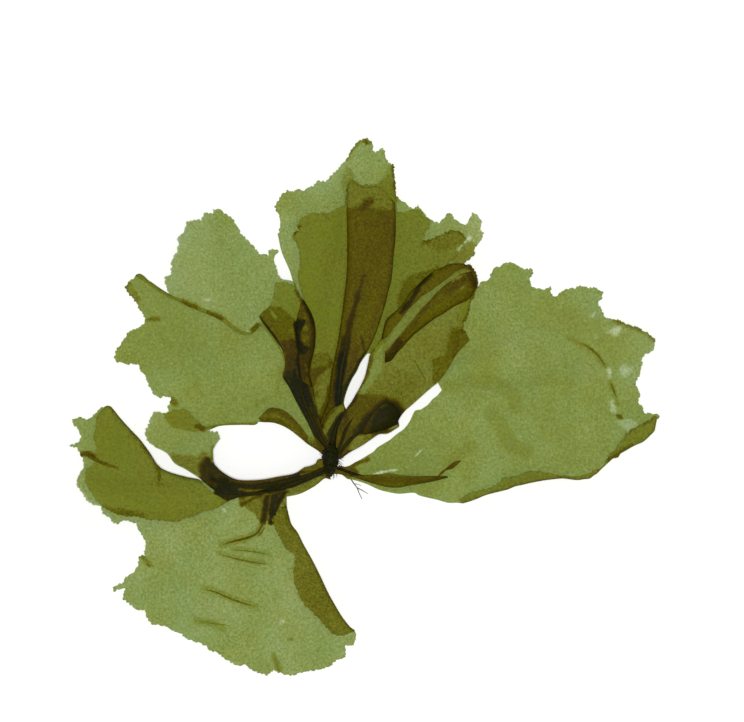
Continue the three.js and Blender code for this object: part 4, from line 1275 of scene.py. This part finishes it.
new_frond(
    "pleated_frond",
    [smooth(PLEATED_NECK), torn(PLEATED_MARGIN, 111), smooth(PLEATED_TOP_FOLD), smooth(PLEATED_LEFT_SIDE)],
    over=["top_front_frond", "top_back_frond", "right_frond"],
    neck=(6, 8),
    own=2.0,
    folds=[
        {
            "line": smooth(PLEATED_TOP_FOLD), "free": smooth(PLEATED_TOP_FREE), "rise": 0.95,
            "margin": True, "layers": 3.6,
            "patches": {
                "thinner left part": (
                    [(437, 271), (425, 278), (412, 292), (404, 304), (398, 312), (392, 312), (400, 290),
                     (420, 272)],
                    0.25, 2.6,
                ),
            },
            "streaks": {
                "black line": ([(430, 275), (422, 284), (414, 296), (408, 305), (401, 313)], 0.3, 8),
            },
        },
        {
            "line": smooth(PLEATED_LOW_FOLD), "free": smooth(PLEATED_LOW_FREE), "rise": 0.95,
            "margin": False, "layers": 3.5,
            "streaks": {
                "dark end": ([(399, 342), (392, 352), (386, 359)], 0.6, 7),
                "dark upper edge": (
                    [(462, 276), (450, 283), (440, 291), (430, 302), (415, 322), (402, 338)], 0.25, 5,
                ),
                "dark loop": ([(466, 270), (472, 276), (473, 284)], 0.6, 6),
                "dark end of the pleat": ([(447, 290), (456, 285), (464, 281)], 0.7, 5),
                "light streak 1": ([(452, 282), (460, 277), (466, 274)], 0.16, 1.2),
                "light streak 2": ([(458, 292), (464, 287), (469, 280)], 0.14, 1.6),
            },
        },
        {
            "line": smooth(PLEATED_BASE_PLEAT), "free": smooth(PLEATED_BASE_FREE), "rise": 0.8,
            "margin": False, "layers": 10.0,
            "streaks": {
                "fading end": ([(364, 434), (365, 426), (370, 416)], 0.8, 6.8),
                "brown upper edge": ([(372, 414), (379, 407), (386, 404)], 0.35, 6.5),
            },
        },
    ],
    streaks={
        "corner's dark line": ([(463, 331), (457, 334), (456, 345), (454, 356)], 0.3, 4.6),
        "dark rim": ([(464, 266), (471, 267), (475, 273), (477, 281), (476, 289)], 0.3, 6),
        "light streak": ([(472, 284), (469, 295), (465, 303), (463.5, 315)], 0.2, 0.7),
        "dark margin": ([(474, 292), (469.5, 305), (467, 314), (463, 322)], 0.2, 3.4),
        "slit's dark edge": ([(342, 416), (347, 408), (353, 401), (356, 395)], 0.35, 6.5),
        "slit's upper edge": ([(369, 356), (367.5, 366), (364.5, 377), (359, 388)], 0.2, 4.5),
        "thin strip at the margin": ([(388, 429.5), (398, 425.5)], 0.2, 1.3),
        "brown spot": ([(359, 396), (365, 397)], 0.3, 4),
    },
    patches={
        "darker lower part": (
            [(372, 392), (400, 374), (420, 382), (430, 390), (410, 406), (396, 412), (380, 400)], 1, 2.35,
        ),
        "green beside the slit": (
            [(370, 355), (375, 348), (374, 362), (370, 374), (364, 384), (363, 378), (367, 366)], 0.15, 3,
        ),
        "dark corner": (
            [(452, 328), (463, 330), (469, 341), (462, 349), (452, 365), (441, 378), (434, 383),
             (433, 360), (446, 357)],
            0.3, 3.1,
        ),
        "brown neck": (
            [
                (336, 440), (342, 418), (352, 402), (366, 396), (382, 397), (390, 404), (378, 412),
                (362, 426), (356, 434), (345, 444),
            ],
            0.4, 3.7,
        ),
        "shade round the black pleat": (
            [
                (357, 434), (362, 427), (372, 417), (380, 408), (386, 404), (393, 405), (399, 412),
                (397, 421), (386, 428), (372, 431), (364, 434),
            ],
            0.9, 9,
        ),
        "olive strip": (
            [(347, 449), (351, 441), (357, 436.5), (365, 434), (372, 435), (362, 443), (354, 449)],
            0.2, 2.4,
        ),
        "dark neck": (
            [
                (345, 414), (341, 420), (338, 428), (336, 440), (336, 454), (344, 452), (348, 442),
                (350, 430), (348, 421),
            ],
            0.5, 5.2,
        ),
        "grey slit": ([(338.5, 436), (339, 440), (337.5, 449), (336.8, 444)], 0.06, 3.6),
        "light strip": (
            [
                (378, 346), (381, 341), (382, 352), (383, 362), (380, 371), (376, 377), (371, 385),
                (366, 391), (361, 394), (362, 389), (366, 382), (370, 374), (373, 364), (374.5, 353),
            ],
            0.1, 1.15,
        ),
        "light strip between the pleats": (
            [(463, 272), (447, 282), (434, 293), (420, 309), (400, 336), (388, 348), (388, 340),
             (409, 310), (438, 284)],
            0.12, 1.5,
        ),
    },
    seed=110,
)


# The creases
# Sharp little folds that stand in the films. Each is the film itself, pinched up, so each is a narrow ridge
# that runs along its frond and thins out at both ends.

RIDGE_SIDES = 10
RIDGE_FULLNESS = 0.7  # how soon a ridge reaches its full width: less is sooner
RIDGE_END = 0.1  # the width of its ends, as a share of its full width
RIDGE_FLATNESS = 0.5  # height over width
FULLEST_RING = 15  # of the holdfast: above it each ring is narrower than the one below
# The frond, the level above its film, the width, the layers and the points. A last number is the width at
# the start, as a share of the full width.
CREASES = {
    "arc beside the tip": (
        "right_frond", 0, 0.2, 3, [(580, 343), (587, 346), (593, 351), (599, 357), (606, 367)],
    ),
    "end of the arc": ("right_frond", 0, 0.18, 3, [(611, 382), (613, 387), (615, 393), (617, 398)]),
    "rise out of the base pleat": ("right_frond", 0, 0.26, 4, [(438, 477), (443, 472), (448, 468)]),
    "end of the base pleat": (
        "right_frond", 0, 0.5, 4.5, [(445, 470), (451, 467), (455, 464), (461, 460.5)],
    ),
    "curve below the left leg": (
        "lower_frond", 0, 0.24, 4,
        [(263, 524), (258, 532), (253, 536), (244, 539), (232, 542), (222, 545)], 0.9,
    ),
    "upper crease": ("lower_frond", 0, 0.15, 2.2, [(230, 550), (250, 551.5), (270, 555)]),
    "second crease": ("lower_frond", 0, 0.16, 2.6, [(218, 554), (240, 560), (262, 564), (270, 564)]),
    "long crease": (
        "lower_frond", 0, 0.2, 3, [(203, 589.5), (213, 591.5), (230, 599), (243, 603.5), (255, 607)],
    ),
    "low crease": ("lower_frond", 0, 0.18, 0.7, [(197, 621), (213, 624), (230, 626)]),
    "low notch": ("lower_frond", 0, 0.16, 1.6, [(274, 658), (277, 667), (280, 673)]),
    "crease across the tip": (
        "lower_left_frond", 0.95, 0.34, 3.6,
        [(90, 456), (97, 460), (104, 463), (112, 466), (119, 467.5)], 1,
    ),
    "crease at the bend": ("lower_left_frond", 0.95, 0.24, 3, [(158, 465), (160, 473), (160, 482)], 0.8),
    "fine crease": ("pleated_frond", 0, 0.2, 2.6, [(413, 358), (418, 367), (423, 376), (427, 382)]),
    "corner's crease": ("pleated_frond", 0, 0.2, 3, [(463, 331), (457, 335), (456, 345), (454, 355)]),
    "corner wing": ("upper_left_frond", 0, 0.2, 3, [(250, 334), (254, 331), (258, 325)]),
    "vein of the long pleat": (
        "top_front_frond", 1.9, 0.26, 7,
        [(359, 294), (356.5, 302), (354, 310), (351, 322), (348, 334), (346, 350), (342, 366), (340, 385),
         (338.5, 402)],
    ),
    "lower left edge": ("stub_frond", 0, 0.3, 10, [(284, 376), (292, 390), (303, 411), (313, 431)]),
    "upper left edge": ("stub_frond", 0, 0.26, 9, [(259, 316), (266, 325), (275, 337), (284, 351)]),
}


def path_mesh(name, paths):
    """A mesh of lines with a width and a number of layers at each point, for the ridge nodes to follow."""
    vertices = []
    edges = []
    widths = []
    layers = []
    for points, heights, width, count in paths:
        first = len(vertices)
        vertices += [(x * MM, y * MM, z * MM) for (x, y), z in zip(points, heights)]
        edges += [(i, i + 1) for i in range(first, len(vertices) - 1)]
        widths += [w * MM for w in width]
        layers += [count] * len(points)
    mesh = bpy.data.meshes.new(name)
    mesh.from_pydata(vertices, edges, [])
    for attribute, values in (("width", widths), ("layers", layers)):
        written = mesh.attributes.new(attribute, "FLOAT", "POINT")
        written.data.foreach_set("value", np.array(values, np.float32))
    piece = bpy.data.objects.new(name, mesh)
    bpy.context.scene.collection.objects.link(piece)
    return piece


def bake(piece, tree, values):
    """Runs a node tree on a piece with these inputs, and leaves a plain mesh without the modifier."""
    modifier = piece.modifiers.new("nodes", "NODES")
    modifier.node_group = tree
    for item in tree.interface.items_tree:
        if item.in_out == "INPUT" and item.name in values:
            modifier[item.identifier] = values[item.name]
    piece.update_tag()
    bpy.context.view_layer.update()
    evaluated = piece.evaluated_get(bpy.context.evaluated_depsgraph_get())
    mesh = bpy.data.meshes.new_from_object(evaluated)
    piece.modifiers.clear()
    piece.data = mesh
    return piece


ridges = bpy.data.node_groups.new("ridge along a path", "GeometryNodeTree")
ridges.interface.new_socket("Geometry", in_out="INPUT", socket_type="NodeSocketGeometry")
ridges.interface.new_socket("Flatness", in_out="INPUT", socket_type="NodeSocketFloat")
ridges.interface.new_socket("Material", in_out="INPUT", socket_type="NodeSocketMaterial")
ridges.interface.new_socket("Geometry", in_out="OUTPUT", socket_type="NodeSocketGeometry")
given = add_node(ridges, "NodeGroupInput")
lines = add_node(ridges, "GeometryNodeMeshToCurve", {"Mesh": given.outputs["Geometry"]})
upright = add_node(ridges, "GeometryNodeSetCurveNormal", {"Curve": lines.outputs["Curve"]}, mode="Z_UP")
width = add_node(ridges, "GeometryNodeInputNamedAttribute", {"Name": "width"}, data_type="FLOAT")
section = add_node(ridges, "GeometryNodeCurvePrimitiveCircle", {"Resolution": RIDGE_SIDES, "Radius": 0.5})
flat = add_node(ridges, "ShaderNodeCombineXYZ", {"X": 1.0, "Y": given.outputs["Flatness"], "Z": 1.0})
flat_section = add_node(ridges, "GeometryNodeTransform", {
    "Geometry": section.outputs["Curve"], "Scale": flat.outputs["Vector"],
})
swept = add_node(ridges, "GeometryNodeCurveToMesh", {
    "Curve": upright.outputs["Curve"], "Profile Curve": flat_section.outputs["Geometry"],
    "Scale": width.outputs["Attribute"], "Fill Caps": True,
})
real = add_node(ridges, "GeometryNodeRealizeInstances", {"Geometry": swept.outputs["Mesh"]})
coated = add_node(ridges, "GeometryNodeSetMaterial", {
    "Geometry": real.outputs["Geometry"], "Material": given.outputs["Material"],
})
add_node(ridges, "NodeGroupOutput", {"Geometry": coated.outputs["Geometry"]})


def ridge(frond, level, width, layers, pixels, start=RIDGE_END):
    """A ridge along points on a frond, and up over the holdfast where it meets that."""
    line = smooth(pixels)
    along = np.linspace(0, 1, len(line))
    swell = np.sin(np.pi * along) ** RIDGE_FULLNESS
    widths = width * np.maximum(swell, np.where(along < 0.5, start, RIDGE_END))
    from_middle = np.hypot(line[:, 0], line[:, 1] / HOLDFAST_STRETCH) / HOLDFAST_RADIUS
    ring_radii = rings_across[:FULLEST_RING:-1]
    ring_heights = rings_up[:FULLEST_RING:-1]
    cushion = HOLDFAST_HEIGHT * np.interp(from_middle, ring_radii, ring_heights, right=0)
    return line, np.maximum(film_height(frond, line, level) + FILM / 2, cushion), widths, layers


creases = path_mesh("creases", [ridge(*crease) for crease in CREASES.values()])
bake(creases, ridges, {"Flatness": RIDGE_FLATNESS, "Material": film})
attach(creases, "root")


# The neck strands
# Dark strands of gathered tissue, in which the fronds' necks run together on the holdfast. Each is a ridge
# that is nearly as wide at the holdfast as in its middle, and fades into its frond.

STRAND_START = 0.9  # their width at the holdfast, as a share of the full width
STRAND_FLATNESS = 0.45
NECK_STRANDS = {  # the frond, the width, the layers and the points
    "stub's main strand": (
        "stub_frond", 0.42, 9,
        [(331, 450), (322, 440), (316, 427), (309, 412), (303, 397), (300, 383), (299, 366)],
    ),
    "stub's second strand": (
        "stub_frond", 0.3, 7.5, [(330, 447), (324, 437), (317, 423), (312, 408), (307, 393)],
    ),
    "strand to the slit": ("pleated_frond", 0.45, 10, [(332, 450), (333, 438), (337, 425), (342, 414)]),
    "strand to the pleats": ("pleated_frond", 0.34, 9, [(337, 452), (342, 441), (346, 429), (353, 418)]),
    "strand to the black pleat": (
        "pleated_frond", 0.4, 9, [(339, 455), (344, 447), (352, 438), (364, 430)],
    ),
    "stem's upper strand": (
        "small_frond", 0.45, 10, [(329, 466), (318, 471), (306, 476), (292, 479.5), (270, 484), (245, 487)],
    ),
    "stem's lower strand": (
        "small_frond", 0.4, 10, [(328, 471), (316, 475), (303, 480), (288, 485), (278, 490)],
    ),
    "right strand": ("right_frond", 0.34, 10, [(334, 467), (345, 471), (358, 475.5), (375, 479)]),
}
strands = path_mesh("neck_strands", [
    ridge(frond, 0, width, layers, pixels, STRAND_START)
    for frond, width, layers, pixels in NECK_STRANDS.values()
])
bake(strands, ridges, {"Flatness": STRAND_FLATNESS, "Material": film})
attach(strands, "root")


# The gathered stems
# Between the holdfast and the place where they part, the necks of the lower fronds are drawn together into
# one tight dark stem, and so are those of the stub frond and of the pleated one. Each is a strand higher
# than wide.

STEM_LAYERS = 11
STEM_FLATNESS = 2.2
STEM_TAPER = {0: 0.72, 0.35: 1, 0.75: 1, 1: 0.35}  # how far along, and the share of the full width there
GATHERED_STEMS = {  # the frond above, the width and the points
    "lower fronds' stem": (
        "small_frond", 0.9,
        [(327, 470), (316, 474), (304, 479), (290, 484), (270, 487), (250, 488), (235, 488), (222, 486)],
    ),
    "stub's stem": ("stub_frond", 0.65, [(328, 449), (320, 438), (313, 424), (307, 409), (301, 394)]),
    "pleated frond's stem": ("pleated_frond", 0.5, [(335, 450), (338, 438), (342, 426), (346, 415)]),
}


def stem(frond, width, pixels):
    """A strand that fills the room between the necks under a frond. It thins out where they part."""
    line = smooth(pixels)
    widths = width * np.interp(np.linspace(0, 1, len(line)), [*STEM_TAPER], [*STEM_TAPER.values()])
    return line, film_height(frond, line, -LAYER_STEP), widths, STEM_LAYERS


stems = path_mesh("gathered_stems", [stem(*row) for row in GATHERED_STEMS.values()])
bake(stems, ridges, {"Flatness": STEM_FLATNESS, "Material": film})
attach(stems, "root")


# The long rhizoids
# Fine threads by which the plant holds on. They grow out of the holdfast's underside, and a branched one
# reaches out beside it along the surface.

RHIZOID_LAYERS = 4
RHIZOID_HEIGHT = 0.06  # of their middle, as they lie on the surface
RHIZOID_TIP = 0.5  # share of their width
LONG_RHIZOIDS = {  # the width and the points
    "main thread": (0.12, [(350, 478), (352, 481), (354, 484), (357, 488), (359, 493), (362, 499.5)]),
    "lower branch": (0.1, [(357, 488), (362, 490.5), (368, 494)]),
    "upper branch": (0.08, [(354, 484), (358, 484.5), (361, 486)]),
}


def rhizoid(width, pixels):
    """A thread that lies on the surface and gets thinner towards its tip."""
    line = smooth(pixels)
    widths = np.linspace(width, RHIZOID_TIP * width, len(line))
    return line, np.full(len(line), RHIZOID_HEIGHT), widths, RHIZOID_LAYERS


rhizoids = path_mesh("long_rhizoids", [rhizoid(*row) for row in LONG_RHIZOIDS.values()])
bake(rhizoids, ridges, {"Flatness": 1.0, "Material": film})
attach(rhizoids, "root")


# The rhizoid fringe
# Short threads that grow out all round the holdfast's foot and grip the surface. Each is bent a little, and
# gets thinner towards its tip.

FRINGE_COUNT = 44
FRINGE_LENGTH = 0.8
FRINGE_WIDTH = 0.09
FRINGE_SWING = 0.5  # how far a thread may turn from straight outward, in radians
FRINGE_PLACE = 0.85  # where the threads leave the foot, as a share of the holdfast's reach
FRINGE_HEIGHT = 0.1
FRINGE_SEED = 7
foot = []
for number in range(FRINGE_COUNT):
    turn = 2 * math.pi * number / FRINGE_COUNT
    x = FRINGE_PLACE * HOLDFAST_RADIUS * math.cos(turn)
    y = FRINGE_PLACE * HOLDFAST_RADIUS * HOLDFAST_STRETCH * math.sin(turn)
    foot.append((x * MM, y * MM, FRINGE_HEIGHT * MM))
fringe_mesh = bpy.data.meshes.new("rhizoid_fringe")
fringe_mesh.from_pydata(foot, [], [])
fringe = bpy.data.objects.new("rhizoid_fringe", fringe_mesh)
bpy.context.scene.collection.objects.link(fringe)
threads = bpy.data.node_groups.new("threads round a foot", "GeometryNodeTree")
threads.interface.new_socket("Geometry", in_out="INPUT", socket_type="NodeSocketGeometry")
threads.interface.new_socket("Length", in_out="INPUT", socket_type="NodeSocketFloat")
threads.interface.new_socket("Width", in_out="INPUT", socket_type="NodeSocketFloat")
threads.interface.new_socket("Seed", in_out="INPUT", socket_type="NodeSocketInt")
threads.interface.new_socket("Material", in_out="INPUT", socket_type="NodeSocketMaterial")
threads.interface.new_socket("Geometry", in_out="OUTPUT", socket_type="NodeSocketGeometry")
given = add_node(threads, "NodeGroupInput")
middle = add_node(threads, "ShaderNodeCombineXYZ", {"X": 0.5, "Y": 0.12, "Z": 0.04})
tip = add_node(threads, "ShaderNodeCombineXYZ", {"X": 1.0, "Y": -0.1, "Z": -0.02})
bent = add_node(threads, "GeometryNodeCurveQuadraticBezier", {
    "Resolution": 8, "Start": (0, 0, 0), "Middle": middle.outputs["Vector"], "End": tip.outputs["Vector"],
})
scaled = add_node(threads, "ShaderNodeCombineXYZ", {
    "X": given.outputs["Length"], "Y": given.outputs["Length"], "Z": given.outputs["Length"],
})
line = add_node(threads, "GeometryNodeTransform", {
    "Geometry": bent.outputs["Curve"], "Scale": scaled.outputs["Vector"],
})
section = add_node(threads, "GeometryNodeCurvePrimitiveCircle", {"Resolution": 6, "Radius": 0.5})
along = add_node(threads, "GeometryNodeSplineParameter")
thinning = add_node(threads, "ShaderNodeMapRange", {
    "Value": along.outputs["Factor"], "To Min": 1.0, "To Max": 0.3,
})
taper = add_node(threads, "ShaderNodeMath", {
    0: thinning.outputs["Result"], 1: given.outputs["Width"],
}, operation="MULTIPLY")
thread = add_node(threads, "GeometryNodeCurveToMesh", {
    "Curve": line.outputs["Geometry"], "Profile Curve": section.outputs["Curve"],
    "Scale": taper.outputs["Value"], "Fill Caps": True,
})
spot = add_node(threads, "GeometryNodeInputPosition")
outward = add_node(threads, "FunctionNodeAlignRotationToVector", {
    "Vector": spot.outputs["Position"],
}, axis="X")
swing = add_node(threads, "FunctionNodeRandomValue", {
    "Min": (0, 0, -FRINGE_SWING), "Max": (0, 0, FRINGE_SWING), "Seed": given.outputs["Seed"],
}, data_type="FLOAT_VECTOR")
turned = add_node(threads, "FunctionNodeRotateRotation", {
    "Rotation": outward.outputs["Rotation"], "Rotate By": swing.outputs["Value"],
}, rotation_space="LOCAL")
sizes = add_node(threads, "FunctionNodeRandomValue", {
    "Min": (0.5, 0.5, 0.5), "Max": (1.2, 1.2, 1.2), "Seed": given.outputs["Seed"],
}, data_type="FLOAT_VECTOR")
placed = add_node(threads, "GeometryNodeInstanceOnPoints", {
    "Points": given.outputs["Geometry"], "Instance": thread.outputs["Mesh"],
    "Rotation": turned.outputs["Rotation"], "Scale": sizes.outputs["Value"],
})
real = add_node(threads, "GeometryNodeRealizeInstances", {"Geometry": placed.outputs["Instances"]})
coated = add_node(threads, "GeometryNodeSetMaterial", {
    "Geometry": real.outputs["Geometry"], "Material": given.outputs["Material"],
})
add_node(threads, "NodeGroupOutput", {"Geometry": coated.outputs["Geometry"]})
bake(fringe, threads, {
    "Length": FRINGE_LENGTH * MM, "Width": FRINGE_WIDTH * MM,
    "Seed": FRINGE_SEED, "Material": holdfast_tissue,
})
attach(fringe, "root")


# The floor, the light and the camera
# A plain pale surface, one broad soft light overhead and a pale room round it. The camera looks straight
# down.

PICTURE_CENTRE = np.array([372, 361])
CAMERA_DISTANCE = 437.3  # above the plane in which most of the film lies
FILM_PLANE = 1
FLOOR_HALF = 600
FLOOR_DROP = 0.02  # below the plant, so that the two don't touch
PANEL_SIZE = 150
PANEL_HEIGHT = 1000

# Matt off-white card, which sends the light back through the film and takes a soft shadow.
backing, tree = new_material("pale backing")
card = add_node(tree, "ShaderNodeBsdfPrincipled", {
    "Base Color": linear("F6F6F4"), "Roughness": 0.9, "Specular IOR Level": 0.1,
})
add_node(tree, "ShaderNodeOutputMaterial", {"Surface": card.outputs["BSDF"]})
corners = [(-1, -1), (1, -1), (1, 1), (-1, 1)]
floor = new_piece(
    "floor", [(FLOOR_HALF * x, FLOOR_HALF * y, -FLOOR_DROP) for x, y in corners], [(0, 1, 2, 3)], backing,
)

room = bpy.data.worlds.new("pale room")
room.use_nodes = True
room.node_tree.nodes["Background"].inputs["Color"].default_value = linear("FFFFFF")
room.node_tree.nodes["Background"].inputs["Strength"].default_value = 0.25
bpy.context.scene.world = room

centre = to_plan(PICTURE_CENTRE)
overhead = bpy.data.lights.new("overhead panel", "AREA")
overhead.size = PANEL_SIZE * MM
overhead.energy = 8.9
panel = bpy.data.objects.new("overhead panel", overhead)
panel.location = Vector((*centre, PANEL_HEIGHT)) * MM
bpy.context.scene.collection.objects.link(panel)

lens = bpy.data.cameras.new("camera")
lens.lens = 200
lens.sensor_width = 36
camera = bpy.data.objects.new("camera", lens)
camera.location = Vector((*centre, CAMERA_DISTANCE + FILM_PLANE)) * MM
bpy.context.scene.collection.objects.link(camera)
bpy.context.scene.camera = camera
bpy.context.scene.view_settings.view_transform = "Standard"
bpy.context.scene.cycles.transparent_max_bounces = 32
